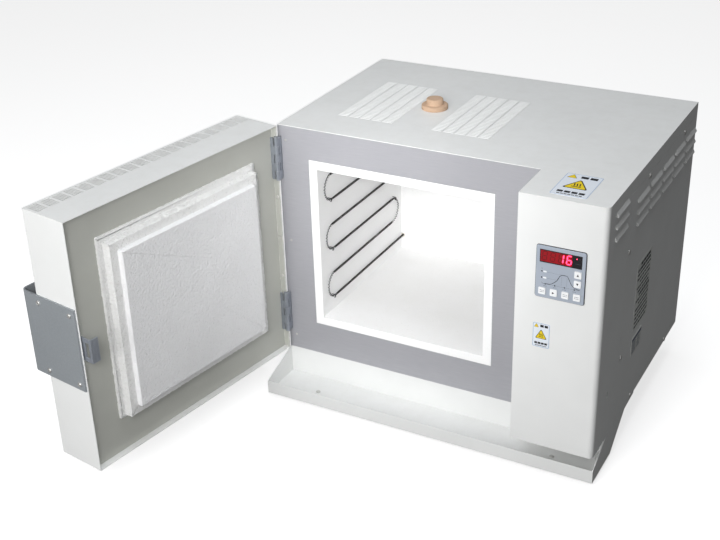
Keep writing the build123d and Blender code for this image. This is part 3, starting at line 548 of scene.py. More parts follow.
@dataclass(frozen=True)
class BareMetal(Finish):
    """Rolled, brushed or plated metal.

    Args:
        metallic: 1 for bare metal, less where plating has dulled.
        lines: how finely the lines divide each axis, per metre.
        depth: depth of the lines, in metres.
        worn_and_highlighted: how bright the edges are painted, partly as rubbing and partly as a painted
            highlight.
        rounding: radius that edges look rounded to, in metres.
    """

    metallic: float = 1.0
    lines: Point = (40.0, 900.0, 900.0)
    depth: float = 0.00001
    worn_and_highlighted: float = 0.5
    rounding: float = 0.0004

    def dress(self, nodes: Nodes, surface: bpy.types.Node) -> None:
        """Adds the metal's nodes.

        Args:
            nodes: the material's nodes.
            surface: its shader.
        """
        scales = dict(zip(("Scale X", "Scale Y", "Scale Z"), self.lines))
        rolled = self.use(nodes, Effect.LINES, scales)
        wear_and_highlight = self.use(nodes, Effect.EDGE_WEAR, {"Radius": 0.0008, "Amount": self.worn_and_highlighted})
        grain = self.use(nodes, Effect.GRAIN, {"Scale": 300.0, "Mottle": 0.5})
        streaked = nodes.sum("MULTIPLY", rolled.outputs["Streaks"], 0.6)
        mask = nodes.sum("ADD", streaked, nodes.sum("MULTIPLY", grain.outputs["Mottling"], 0.5))
        colour = nodes.blend(mask, tone(self.colour), tone(self.second))
        # Edges painted bright: partly rubbing, partly a painted highlight.
        colour = nodes.blend(wear_and_highlight.outputs["Wear"], colour, tone((232, 234, 236)))
        nodes.tree.links.new(colour, surface.inputs["Base Color"])
        surface.inputs["Metallic"].default_value = self.metallic
        self.vary(nodes, surface, rolled.outputs["Streaks"], 0.12)
        self.bump(nodes, surface, rolled.outputs["Height"], self.depth, self.rounding)


@dataclass(frozen=True)
class SpangledZinc(Finish):
    """Galvanised sheet with its patchwork of zinc crystals."""

    def dress(self, nodes: Nodes, surface: bpy.types.Node) -> None:
        """Adds the crystals and their faint relief.

        Args:
            nodes: the material's nodes.
            surface: its shader.
        """
        place = nodes.add("ShaderNodeTexCoord").outputs["Object"]
        spangle = nodes.add("ShaderNodeTexVoronoi", {"Vector": place, "Scale": 85.0})
        shade = nodes.add("ShaderNodeSeparateColor", {0: spangle.outputs["Color"]}).outputs[0]
        wear_and_highlight = self.use(nodes, Effect.EDGE_WEAR, {"Radius": 0.0008, "Amount": 0.4})
        colour = nodes.blend(shade, tone(self.colour), tone(self.second))
        # Edges painted bright: partly rubbing, partly a painted highlight.
        colour = nodes.blend(wear_and_highlight.outputs["Wear"], colour, tone((220, 222, 224)))
        nodes.tree.links.new(colour, surface.inputs["Base Color"])
        surface.inputs["Metallic"].default_value = 0.9
        self.vary(nodes, surface, shade, 0.2)
        self.bump(nodes, surface, shade, 0.00001)


@dataclass(frozen=True)
class FibreMat(Finish):
    """Ceramic fibre, formed as a board or laid as a blanket.

    Args:
        pit: the colour of its pits.
        scale: how many pebbles to a metre.
        depth: depth of the pebbling, in metres.
        fuzz: how much stray fibre catches the light.
    """

    pit: Srgb = (238, 238, 236)
    scale: float = 420.0
    depth: float = 0.0005
    fuzz: float = 0.15

    def dress(self, nodes: Nodes, surface: bpy.types.Node) -> None:
        """Adds the fibre's nodes.

        Args:
            nodes: the material's nodes.
            surface: its shader.
        """
        mat = self.use(nodes, Effect.FIBRES, {"Scale": self.scale})
        grain = self.use(nodes, Effect.GRAIN, {"Scale": 1400.0, "Mottle": 0.6})
        dust = self.use(nodes, Effect.DUST, {"Scale": 30.0, "Amount": 0.06})
        colour = nodes.blend(grain.outputs["Mottling"], tone(self.colour), tone(self.second))
        colour = nodes.blend(mat.outputs["Pits"], colour, tone(self.pit))
        colour = nodes.blend(dust.outputs["Dust"], colour, tone((224, 219, 208)))
        nodes.tree.links.new(colour, surface.inputs["Base Color"])
        surface.inputs["Specular IOR Level"].default_value = 0.2
        surface.inputs["Sheen Weight"].default_value = self.fuzz
        surface.inputs["Sheen Roughness"].default_value = 0.6
        self.vary(nodes, surface, mat.outputs["Pits"], 0.05)
        whole = nodes.sum("ADD", mat.outputs["Height"], nodes.sum(
            "MULTIPLY", grain.outputs["Height"], 0.2
        ))
        self.bump(nodes, surface, whole, self.depth, 0.0006)


@dataclass(frozen=True)
class FiredClay(Finish):
    """Unglazed fired clay with open pores and rims painted paler, partly as rubbing and partly as a painted
    highlight.
    """

    def dress(self, nodes: Nodes, surface: bpy.types.Node) -> None:
        """Adds the clay's nodes.

        Args:
            nodes: the material's nodes.
            surface: its shader.
        """
        mat = self.use(nodes, Effect.FIBRES, {"Scale": 700.0})
        wear_and_highlight = self.use(nodes, Effect.EDGE_WEAR, {"Radius": 0.0012, "Amount": 0.7})
        grain = self.use(nodes, Effect.GRAIN, {"Scale": 900.0, "Mottle": 0.8})
        colour = nodes.blend(grain.outputs["Mottling"], tone(self.colour), tone(self.second))
        colour = nodes.blend(mat.outputs["Pits"], colour, tone((150, 118, 94)))
        # Rims painted paler: partly rubbing, partly a painted highlight.
        colour = nodes.blend(wear_and_highlight.outputs["Wear"], colour, tone((222, 194, 168)))
        nodes.tree.links.new(colour, surface.inputs["Base Color"])
        self.vary(nodes, surface, mat.outputs["Pits"], 0.1)
        self.bump(nodes, surface, mat.outputs["Height"], 0.00018)


@dataclass(frozen=True)
class Moulding(Finish):
    """Moulded plastic or rubber with a fine spark-eroded texture.

    Args:
        texture: depth of the texture, in metres.
        worn_and_highlighted: how much the edges are painted lighter, partly as rubbing and partly as a painted
            highlight.
        clear: weight of a glossy skin.
    """

    texture: float = 0.00002
    worn_and_highlighted: float = 0.3
    clear: float = 0.0

    def dress(self, nodes: Nodes, surface: bpy.types.Node) -> None:
        """Adds the moulding's nodes.

        Args:
            nodes: the material's nodes.
            surface: its shader.
        """
        grain = self.use(nodes, Effect.GRAIN, {"Scale": 2200.0, "Mottle": 1.0})
        wear_and_highlight = self.use(nodes, Effect.EDGE_WEAR, {"Radius": 0.0006, "Amount": self.worn_and_highlighted})
        dust = self.use(nodes, Effect.DUST, {"Scale": 80.0, "Amount": 0.15})
        colour = nodes.blend(grain.outputs["Mottling"], tone(self.colour), tone(self.second))
        # Edges painted lighter than the moulding: partly rubbing, partly a painted highlight.
        lighter = tuple(min(255, part + 28) for part in self.colour)
        colour = nodes.blend(wear_and_highlight.outputs["Wear"], colour, tone(lighter))
        colour = nodes.blend(dust.outputs["Dust"], colour, tone((170, 166, 158)))
        nodes.tree.links.new(colour, surface.inputs["Base Color"])
        surface.inputs["Coat Weight"].default_value = self.clear
        surface.inputs["Coat Roughness"].default_value = 0.05
        self.vary(nodes, surface, grain.outputs["Mottling"], 0.1)
        self.bump(nodes, surface, grain.outputs["Height"], self.texture, 0.0003)


@dataclass(frozen=True)
class Ink(Finish):
    """Screen-printed ink or film, with an uneven edge-to-edge density."""

    def dress(self, nodes: Nodes, surface: bpy.types.Node) -> None:
        """Adds the ink's nodes.

        Args:
            nodes: the material's nodes.
            surface: its shader.
        """
        grain = self.use(nodes, Effect.GRAIN, {"Scale": 3000.0, "Mottle": 1.0})
        colour = nodes.blend(grain.outputs["Mottling"], tone(self.colour), tone(self.second))
        nodes.tree.links.new(colour, surface.inputs["Base Color"])
        self.vary(nodes, surface, grain.outputs["Mottling"], 0.12)
        self.bump(nodes, surface, grain.outputs["Height"], 0.000005)


@dataclass(frozen=True)
class LitSegment(Finish):
    """A lit part of the display.

    Args:
        strength: how brightly it glows.
    """

    strength: float = 4.0

    def dress(self, nodes: Nodes, surface: bpy.types.Node) -> None:
        """Adds a glow that is a little uneven, as behind a filter.

        Args:
            nodes: the material's nodes.
            surface: its shader.
        """
        grain = self.use(nodes, Effect.GRAIN, {"Scale": 900.0, "Mottle": 1.0})
        glow = nodes.blend(grain.outputs["Mottling"], tone(self.colour), tone(self.second))
        nodes.tree.links.new(glow, surface.inputs["Base Color"])
        nodes.tree.links.new(glow, surface.inputs["Emission Color"])
        surface.inputs["Emission Strength"].default_value = self.strength


PAINT = StovedPaint("painted_sheet", (236, 237, 236), (231, 232, 231), 0.42)
LINER = StovedPaint("liner_paint", (190, 191, 184), (183, 184, 177), 0.55, dusty=0.05)
STAINLESS = BareMetal(
    "stainless_panel", (184, 184, 189), (173, 173, 179), 0.36, 0.35, (30.0, 30.0, 700.0), 6e-6, 0.2
)
ZINC_SHEET = SpangledZinc("galvanised_sheet", (168, 172, 176), (204, 208, 210), 0.38)
BOARD = FibreMat("fibre_board", (249, 249, 249), (243, 243, 242), 0.9)
BLANKET = FibreMat(
    "fibre_blanket", (244, 244, 241), (234, 233, 228), 0.95, (212, 211, 205), 260.0, 0.001, 0.3
)
# A slightly darker copy of the fibre board for the door plug's face: painted shade on the plug.
PLUG_BOARD_SHADED = FibreMat(
    "plug_board_shaded", (243, 243, 244), (236, 236, 237), 0.92, (226, 226, 227), 250.0, 0.0022
)
PLUG_BLANKET = FibreMat(
    "plug_blanket", (245, 245, 244), (236, 236, 234), 0.95, (212, 211, 208), 240.0, 0.003, 0.3
)
# Darker than the record's white blanket: partly the brownish colour of rock wool, partly painted shade seen
# through the door's vent and latch slots.
WOOL_AND_VENT_SHADE = FibreMat(
    "mineral_wool_and_vent_shade", (112, 107, 96), (92, 87, 76), 0.95, (66, 62, 54), 300.0, 0.002, 0.2
)
WIRE = BareMetal(
    "heating_wire", (34, 31, 30), (16, 15, 15), 0.55, 0.3, (700.0, 700.0, 700.0), 2e-5, 0.0
)
CERAMIC = Moulding("white_ceramic", (236, 232, 222), (226, 220, 208), 0.35, 3e-5, 0.3, 0.3)
CLAY = FiredClay("fired_clay", (201, 173, 148), (187, 155, 128), 0.85)
ZINC = BareMetal(
    "zinc_steel", (178, 183, 192), (136, 142, 152), 0.36, 0.6, (300.0, 300.0, 60.0), 8e-6, 0.6
)
SCREW = BareMetal(
    "screw_steel", (222, 221, 218), (180, 179, 176), 0.28, 0.7, (500.0, 500.0, 500.0), 6e-6, 0.5
)
HANDLE = BareMetal(
    "handle_steel", (168, 173, 177), (152, 158, 163), 0.45, 0.4, (420.0, 420.0, 420.0), 1e-5, 0.15
)
RUBBER = Moulding("foot_rubber", (38, 38, 40), (28, 28, 30), 0.8, 6e-5, 0.3)
BEZEL = Moulding("bezel_plastic", (170, 178, 190), (161, 170, 183), 0.5, 2e-5, 0.5)
BLACK = Moulding("black_plastic", (30, 31, 34), (22, 23, 26), 0.55)
FILTER = Moulding("display_filter", (26, 22, 28), (18, 15, 20), 0.25, 2e-6, 0.1, 0.4)
KEY = Moulding("key_plastic", (248, 249, 250), (240, 242, 244), 0.42, 1e-5, 0.3)
SINK = BareMetal(
    "sink_aluminium", (196, 198, 200), (178, 180, 183), 0.4, 1.0, (500.0, 500.0, 30.0), 1e-5, 0.4
)
LABEL = Ink("label_film", (229, 235, 243), (222, 229, 239), 0.4)
PLATE = Ink("plate_film", (226, 227, 223), (214, 215, 212), 0.45)
BLACK_INK = Ink("black_ink", (14, 15, 22), (26, 28, 36), 0.5)
GREY_INK = Ink("grey_ink", (84, 90, 102), (98, 104, 116), 0.5)
YELLOW_INK = Ink("yellow_ink", (240, 212, 30), (232, 202, 24), 0.45)
BLUE_INK = Ink("blue_ink", (150, 172, 200), (162, 182, 208), 0.5)
WHITE_INK = Ink("white_ink", (242, 244, 246), (232, 235, 238), 0.5)
PLATE_INK = Ink("plate_ink", (84, 92, 112), (98, 106, 126), 0.4)
RED_FILTER = Ink("red_filter", (168, 14, 28), (148, 11, 23), 0.22)
LIT = LitSegment("lit_segment", (255, 40, 84), (255, 66, 104), 0.4)
DIM = Ink("dim_segment", (122, 8, 18), (108, 7, 15), 0.3)

FINISHES = {
    finish.slot: finish
    for finish in (
        PAINT, LINER, STAINLESS, ZINC_SHEET, BOARD, BLANKET, WIRE, CERAMIC, CLAY, ZINC,
        SCREW, HANDLE, RUBBER, BEZEL, BLACK, FILTER, KEY, SINK, LABEL, PLATE,
    )
}


# --- Mesh work --------------------------------------------------------------------------------------
class Workpiece:
    """A mesh in the making, in the kiln's millimetres.

    Args:
        name: the piece's name.
        body: what it rides on.
    """

    def __init__(self, name: str, body: Body | str) -> None:
        """Starts an empty mesh for a body."""
        self.name = name
        self.body = body.value if isinstance(body, Body) else body
        on_door = body in (Body.DOOR, Body.LATCH)
        self.axes = AXES.door() if on_door else AXES.cabinet()
        self.mesh = bmesh.new()

    def face(self, vertices: Sequence[bmesh.types.BMVert]) -> None:
        """Adds a face."""
        self.mesh.faces.new(vertices)

    def ring(self, points: Iterable[Point]) -> list[bmesh.types.BMVert]:
        """Adds a row of points."""
        return [self.mesh.verts.new(point) for point in points]

    def skin(self, rings: list[list[bmesh.types.BMVert]], closed: bool = True) -> None:
        """Joins each row of points to the next.

        Args:
            rings: rows of equally many points.
            closed: whether each row runs round to its start.
        """
        count = len(rings[0])
        last = count if closed else count - 1
        for near, far in zip(rings, rings[1:]):
            for i in range(last):
                j = (i + 1) % count
                self.face((near[i], near[j], far[j], far[i]))

    def cap(self, ring: Sequence[bmesh.types.BMVert], flip: bool = False) -> None:
        """Closes a row of points with one face."""
        self.face(list(reversed(ring)) if flip else list(ring))

    def lathe(
        self, profile: Sequence[Flat], origin: Vector, along: Vector, sides: int = 48
    ) -> None:
        """Turns a profile about an axis, closed at both ends.

        Args:
            profile: radius and distance along the axis of each point.
            origin: where the axis starts.
            along: the axis's direction.
            sides: how many flats make the round.
        """
        across, up = self.square_to(along)
        rings = []
        for radius, reach in profile:
            turns = (math.tau * i / sides for i in range(sides))
            rings.append(self.ring(
                origin + along * reach + radius * (across * math.cos(t) + up * math.sin(t))
                for t in turns
            ))
        self.skin(rings)
        self.cap(rings[0], flip=True)
        self.cap(rings[-1])

    def bored_lathe(
        self, profile: Sequence[Flat], origin: Vector, along: Vector, sides: int = 48
    ) -> None:
        """Turns a closed profile about an axis, as a ring with a hole through it.

        Args:
            profile: radius and distance along the axis of each point, all the way round.
            origin: where the axis starts.
            along: the axis's direction.
            sides: how many flats make the round.
        """
        across, up = self.square_to(along)
        rings = []
        for radius, reach in (*profile, profile[0]):
            turns = (math.tau * i / sides for i in range(sides))
            if len(rings) == len(profile):
                rings.append(rings[0])
                continue
            rings.append(self.ring(
                origin + along * reach + radius * (across * math.cos(t) + up * math.sin(t))
                for t in turns
            ))
        self.skin(rings)

    def tube(self, points: Sequence[Vector], radius: float, sides: int = 8) -> None:
        """Draws a round bar along a line of points.

        Args:
            points: the bar's centre line.
            radius: the bar's radius.
            sides: how many flats make the round.
        """
        rings = []
        across, _ = self.square_to((points[1] - points[0]).normalized())
        for i, point in enumerate(points):
            before, after = points[max(i - 1, 0)], points[min(i + 1, len(points) - 1)]
            along = (after - before).normalized()
            across = (across - along * across.dot(along)).normalized()
            up = along.cross(across)
            turns = (math.tau * k / sides for k in range(sides))
            rings.append(self.ring(
                point + radius * (across * math.cos(t) + up * math.sin(t)) for t in turns
            ))
        self.skin(rings)
        self.cap(rings[0], flip=True)
        self.cap(rings[-1])

    def prism(self, outline: Sequence[Vector], along: Vector) -> None:
        """Raises an outline into a solid.

        Args:
            outline: the outline's points.
            along: how far and which way it is drawn out.
        """
        low = self.ring(outline)
        high = self.ring(point + along for point in outline)
        self.skin([low, high])
        self.cap(low, flip=True)
        self.cap(high)

    @staticmethod
    def square_to(along: Vector) -> tuple[Vector, Vector]:
        """Two directions square to an axis and to each other.

        Args:
            along: a direction.

        Returns:
            Two unit vectors square to it and to each other.
        """
        aside = Vector((0, 0, 1)) if abs(along.z) < 0.9 else Vector((1, 0, 0))
        across = aside.cross(along).normalized()
        return across, along.cross(across)

    def hand_over(
        self, finish: Finish, slot: str = "", replaces: Sequence[str] = (), smooth: float = 40.0
    ) -> bpy.types.Object:
        """Finishes the mesh and hangs it on its body.

        Args:
            finish: the material it gets.
            slot: the record's material slot, if it isn't the finish's own; not used.
            replaces: CAD nodes that it stands for.
            smooth: the largest angle in degrees that is shaded smooth.

        Returns:
            The new object.
        """
        bmesh.ops.recalc_face_normals(self.mesh, faces=self.mesh.faces)
        self.mesh.transform(self.axes)
        for polygon in self.mesh.faces:
            polygon.smooth = True
        data = bpy.data.meshes.new(self.name)
        self.mesh.to_mesh(data)
        self.mesh.free()
        data.set_sharp_from_angle(angle=math.radians(smooth))
        data.materials.append(finish.material())
        made = bpy.data.objects.new(self.name, data)
        bpy.context.scene.collection.objects.link(made)
        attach(made, self.body)
        slot or finish.slot
        if replaces:
            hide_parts(*replaces)
        log.info("%s: %d faces on %s", self.name, len(data.polygons), self.body)
        return made


@dataclass(frozen=True)
class Surface:
    """A flat place on the kiln that things are printed on.

    Args:
        origin: its middle.
        right: its direction to the right.
        up: its upward direction.
    """

    origin: Vector
    right: Vector
    up: Vector

    def out(self) -> Vector:
        """The direction it faces."""
        return self.right.cross(self.up)

    def at(self, across: float, height: float, proud: float = 0.0) -> Vector:
        """A point on it, in millimetres from its middle."""
        return self.origin + self.right * across + self.up * height + self.out() * proud


class Print(Workpiece):
    """Flat shapes printed on a surface, a film's thickness proud of it.

    Args:
        name: the piece's name.
        body: what it rides on.
        surface: what it is printed on.
        proud: where the film starts above the surface.
        film: the film's thickness.
    """

    def __init__(
        self,
        name: str,
        body: Body | str,
        surface: Surface,
        proud: float = 0.0,
        film: float = 0.08,
    ) -> None:
        """Starts an empty print on a surface."""
        super().__init__(name, body)
        self.surface = surface
        self.proud = proud
        self.film = film

    def polygon(self, outline: Sequence[Flat]) -> None:
        """Prints a closed outline."""
        points = [self.surface.at(x, y, self.proud) for x, y in outline]
        self.prism(points, self.surface.out() * self.film)

    def bar(self, x: float, y: float, width: float, height: float) -> None:
        """Prints a bar about its middle."""
        w, h = width / 2, height / 2
        self.polygon([(x - w, y - h), (x + w, y - h), (x + w, y + h), (x - w, y + h)])

    def dot(self, x: float, y: float, radius: float, sides: int = 16) -> None:
        """Prints a dot."""
        turns = [math.tau * i / sides for i in range(sides)]
        self.polygon([(x + radius * math.cos(t), y + radius * math.sin(t)) for t in turns])

    def stroke(self, points: Sequence[Flat], width: float) -> None:
        """Prints a line of one width through points.

        Args:
            points: the line's points, across and up.
            width: the line's width.
        """
        line = [Vector(point) for point in points]
        left, right = [], []
        for i, point in enumerate(line):
            along = (line[min(i + 1, len(line) - 1)] - line[max(i - 1, 0)]).normalized()
            aside = Vector((-along.y, along.x)) * width / 2
            left.append(tuple(point + aside))
            right.append(tuple(point - aside))
        self.polygon(right + left[::-1])

    def dashes(self, start: Flat, end: Flat, width: float, pitch: float) -> None:
        """Prints a dashed line.

        Args:
            start: where the line starts.
            end: where it ends.
            width: the line's width.
            pitch: distance between dashes.
        """
        a, b = Vector(start), Vector(end)
        count = max(1, round((b - a).length / pitch))
        for i in range(count):
            near = a.lerp(b, i / count)
            far = a.lerp(b, (i + 0.55) / count)
            self.stroke([tuple(near), tuple(far)], width)

    def triangle(self, x: float, y: float, width: float, corner: float) -> None:
        """Prints an upright triangle with rounded corners about its middle.

        Args:
            x: the middle across.
            y: the middle up.
            width: length of the base.
            corner: radius of the corners.
        """
        height = width * math.sqrt(3) / 2
        tips = [(x - width / 2, y - height / 3), (x + width / 2, y - height / 3)]
        tips.append((x, y + 2 * height / 3))
        outline = []
        for i, tip in enumerate(tips):
            middle = Vector((x, y))
            inner = Vector(tip) + (middle - Vector(tip)).normalized() * 2 * corner
            start = math.radians((150, 270, 30)[i])
            for step in range(5):
                turn = start + math.radians(120) * step / 4
                outline.append((
                    inner.x + corner * math.cos(turn), inner.y + corner * math.sin(turn)
                ))
        self.polygon(outline)

    def rounded(self, x: float, y: float, width: float, height: float, corner: float) -> None:
        """Prints a rectangle with rounded corners about its middle."""
        self.polygon(rounded_outline(x, y, width, height, corner))

    def frame(self, width: float, height: float, corner: float, line: float) -> None:
        """Prints a thin border with rounded corners about the surface's middle.

        Args:
            width: outside width.
            height: outside height.
            corner: outside corner radius.
            line: the line's width.
        """
        outer = rounded_outline(0, 0, width, height, corner)
        inner = rounded_outline(0, 0, width - 2 * line, height - 2 * line, corner - line)
        lift = self.surface.out() * self.film
        rings = [
            self.ring(self.surface.at(x, y, self.proud) for x, y in outer),
            self.ring(self.surface.at(x, y, self.proud) + lift for x, y in outer),
            self.ring(self.surface.at(x, y, self.proud) + lift for x, y in inner),
            self.ring(self.surface.at(x, y, self.proud) for x, y in inner),
        ]
        self.skin([*rings, rings[0]])


def rounded_outline(
    x: float, y: float, width: float, height: float, corner: float, steps: int = 4
) -> list[Flat]:
    """The outline of a rectangle with rounded corners.

    Args:
        x: its middle across.
        y: its middle up.
        width: its size across.
        height: its size up.
        corner: the corners' radius.
        steps: how many flats make each corner.

    Returns:
        Its points, anticlockwise.
    """
    points = []
    for quarter, (side, rise) in enumerate(((1, 1), (-1, 1), (-1, -1), (1, -1))):
        cx = x + side * (width / 2 - corner)
        cy = y + rise * (height / 2 - corner)
        for step in range(steps + 1):
            turn = math.radians(90 * quarter + 90 * step / steps)
            points.append((cx + corner * math.cos(turn), cy + corner * math.sin(turn)))
    return points


# --- Fasteners --------------------------------------------------------------------------------------
@dataclass
class CrossHeadScrews:
    """Pan-head screws with a cross recess, in place of a node's plain ones.

    Args:
        node: the node whose solids are the screws.
        body: what they ride on.
        head_radius: radius of the head.
        head_height: height of the head.
        recess: half the length of the cross.
        slot_half_width: half the width of one arm of the cross.
        recess_depth: how deep the cross goes.
        shank_radius: radius of the shank.
        heads_up: whether every head faces up, whatever side it is on.
    """

    node: str
    body: Body
    head_radius: float = 4.0
    head_height: float = 2.2
    recess: float = 1.9
    slot_half_width: float = 0.42
    recess_depth: float = 1.3
    shank_radius: float = 1.9
    heads_up: bool = False

    def build(self) -> None:
        """Makes all the screws of the node as one piece."""
        axes = AXES.of(self.body)
        middle = INSIDE_CABINET if self.body is Body.CABINET else None
        work = Workpiece(f"{self.node}_cross_head", self.body)
        for low, high in solids_of(self.node, axes):
            seat, outward, length = self.placing(low, high, middle)
            self.screw(work, seat, outward, length)
        work.hand_over(SCREW, replaces=[self.node], smooth=50.0)

    def placing(
        self, low: Vector, high: Vector, middle: Vector | None
    ) -> tuple[Vector, Vector, float]:
        """Works out where one screw's head sits.

        Args:
            low: the lowest corner of the plain screw.
            high: its highest corner.
            middle: a point inside the kiln that heads face away from, or None for +X.

        Returns:
            The middle of the head's seat, the direction it faces and the shank's length.
        """
        size, centre = high - low, (high + low) / 2
        across = 2 * self.head_radius
        axis = max(range(3), key=lambda i: abs(size[i] - across))
        outward = Vector((0.0, 0.0, 0.0))
        ahead = self.heads_up or middle is None or centre[axis] > middle[axis]
        outward[axis] = 1.0 if ahead else -1.0
        top = Vector(centre)
        top[axis] = high[axis] if ahead else low[axis]
        return top - outward * self.head_height, outward, size[axis] - self.head_height

    def cross_radius(self, turn: float) -> float:
        """How far the cross reaches in a direction, for a cross of unit scale.

        Args:
            turn: the direction from the screw's axis, in radians.

        Returns:
            The recess's radius in that direction.
        """
        c, s = max(abs(math.cos(turn)), 1e-6), max(abs(math.sin(turn)), 1e-6)
        width, reach = self.slot_half_width, self.recess
        return max(min(reach / c, width / s), min(width / c, reach / s))

    def screw(self, work: Workpiece, seat: Vector, outward: Vector, length: float) -> None:
        """Adds one screw to the piece.

        Args:
            work: the piece to add to.
            seat: the middle of the head's seat.
            outward: the direction the head faces.
            length: the shank's length.
        """
        across, up = work.square_to(outward)
        arm = math.degrees(math.atan2(self.slot_half_width, self.recess))
        turns = [
            math.radians(90 * quarter + step)
            for quarter in range(4)
            for step in (0.0, arm, 30.0, 45.0, 60.0, 90.0 - arm)
        ]
        r, h = self.head_radius, self.head_height
        levels: list[tuple[float, float]] = [
            (self.shank_radius, -length),
            (self.shank_radius, 0.0),
            (r, 0.0),
            (r, 0.35 * h),
            (0.93 * r, 0.66 * h),
            (0.78 * r, 0.88 * h),
            (0.6 * r, 0.97 * h),
        ]
        rings = [
            work.ring(
                seat + outward * z + radius * (across * math.cos(t) + up * math.sin(t))
                for t in turns
            )
            for radius, z in levels
        ]
        for scale, z in ((1.0, h), (0.62, h - self.recess_depth)):
            rings.append(work.ring(
                seat + outward * z
                + scale * self.cross_radius(t) * (across * math.cos(t) + up * math.sin(t))
                for t in turns
            ))
        work.skin(rings)
        work.cap(rings[0], flip=True)
        work.cap(rings[-1])


# --- Heating elements -------------------------------------------------------------------------------
@dataclass
class HeatingElement:
    """One coiled wire laid in runs on a side wall of the firing chamber.

    Args:
        side: which wall it is on, as in the node's name.
        coil_radius: outside radius of the coil.
        wire_radius: radius of the wire.
        pitch: distance between turns on the straight runs.
        stretched: distance between turns round the bends.
        slim: the coil's girth round the bends, as a share of its full girth.
        runs: how many straight runs it has.
        steps_per_turn: points to a turn of the wire.
    """

    side: str
    coil_radius: float = 2.0
    wire_radius: float = 0.6
    pitch: float = 2.4
    stretched: float = 5.2
    slim: float = 0.82
    runs: int = 6
    steps_per_turn: int = 10

    def build(self) -> None:
        """Makes the coil in place of the node."""
        node = f"element_{self.side}"
        low, high = node_box(node, AXES.cabinet())
        work = Workpiece(f"coil_{self.side}", Body.CABINET)
        work.tube(self.helix(low, high), self.wire_radius, sides=5)
        work.hand_over(WIRE, replaces=[node], smooth=80.0)

    def centre_line(self, low: Vector, high: Vector) -> list[tuple[Vector, bool]]:
        """Follows the runs and bends.

        Args:
            low: the lowest corner of the element.
            high: its highest corner.

        Returns:
            Points about half a millimetre apart, each with whether it lies on a bend.
        """
        top, bottom = high.z - self.coil_radius, low.z + self.coil_radius
        run_pitch = (top - bottom) / (self.runs - 1)
        bend = run_pitch / 2
        front = low.y + self.coil_radius + bend
        chamber_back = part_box("lining_back")[0].y / MM - AXES.corner.y / MM
        back = chamber_back - 20.0 - bend
        tail = high.y
        x = (low.x + high.x) / 2
        points: list[tuple[Vector, bool]] = []
        for run in range(self.runs):
            z = top - run * run_pitch
            forward = run % 2 == 0
            start = tail if run == 0 else (back if forward else front)
            end = tail if run == self.runs - 1 else (front if forward else back)
            count = round(abs(end - start) / 0.5)
            for i in range(count):
                y = start + (end - start) * i / count
                points.append((Vector((x, y, z)), False))
            if run < self.runs - 1:
                sign = -1.0 if forward else 1.0
                turns = round(math.pi * bend / 0.5)
                for i in range(turns):
                    t = math.pi * i / turns
                    y = end + sign * bend * math.sin(t)
                    points.append((Vector((x, y, z - bend + bend * math.cos(t))), True))
        return points

    def helix(self, low: Vector, high: Vector) -> list[Vector]:
        """Winds the wire about the centre line.

        Args:
            low: the lowest corner of the element.
            high: its highest corner.

        Returns:
            The wire's own centre line.
        """
        line = self.centre_line(low, high)
        phase, stretch = 0.0, 0.0
        wire: list[Vector] = []
        radius = self.coil_radius - self.wire_radius
        for (point, bent), (after, _) in zip(line, line[1:]):
            step = (after - point).length
            along = (after - point).normalized()
            target = 1.0 if bent else 0.0
            stretch += (target - stretch) * min(1.0, step / 5.0)
            pitch = self.pitch + (self.stretched - self.pitch) * stretch
            girth = radius * (1.0 - (1.0 - self.slim) * stretch)
            side = Vector((1.0, 0.0, 0.0))
            lift = along.cross(side)
            parts = max(1, math.ceil(step / pitch * self.steps_per_turn))
            for part in range(parts):
                turn = phase + math.tau * step / pitch * part / parts
                centre = point.lerp(after, part / parts)
                wire.append(centre + girth * (side * math.cos(turn) + lift * math.sin(turn)))
            phase += math.tau * step / pitch
        return wire


@dataclass
class LatchSlotShade:
    """Black sheet folded into a pocket behind the latch's slot, inside the door: painted shade that makes the slot
    look dark.

    Args:
        outer: width of the pocket across the door.
        inner: gap from the liner's free edge.
        mouth: how far the pocket's mouth lies inside the liner's face.
        reach: depth of the pocket.
        sheet: thickness of its sheet.
        border: how far it goes below the latch.
        latch_root: how far the latch goes in behind the liner's face.
    """

    outer: float = 15.5
    inner: float = 1.2
    mouth: float = 2.6
    reach: float = 38.0
    sheet: float = 0.8
    border: float = 9.0
    latch_root: float = 12.0

    def build(self) -> None:
        """Makes the pocket from the latch's and the liner's places."""
        low, high = node_box("door_latch", AXES.door())
        _, liner = node_box("door_liner", AXES.door())
        right = liner.x - self.inner
        left = right - self.outer
        front = low.y + self.latch_root - self.mouth
        back = front - self.reach
        t = self.sheet
        corners = (
            (left, front), (left + t, front), (left + t, back + t), (right, back + t),
            (right, back), (left, back),
        )
        bottom = low.z - self.border
        work = Workpiece("latch_slot_shade", Body.DOOR)
        lift = Vector((0.0, 0.0, 2 * (high.z - low.z) + self.border))
        work.prism([Vector((x, y, bottom)) for x, y in corners], lift)
        # Black sheet as painted shade inside the slot.
        work.hand_over(BLACK)


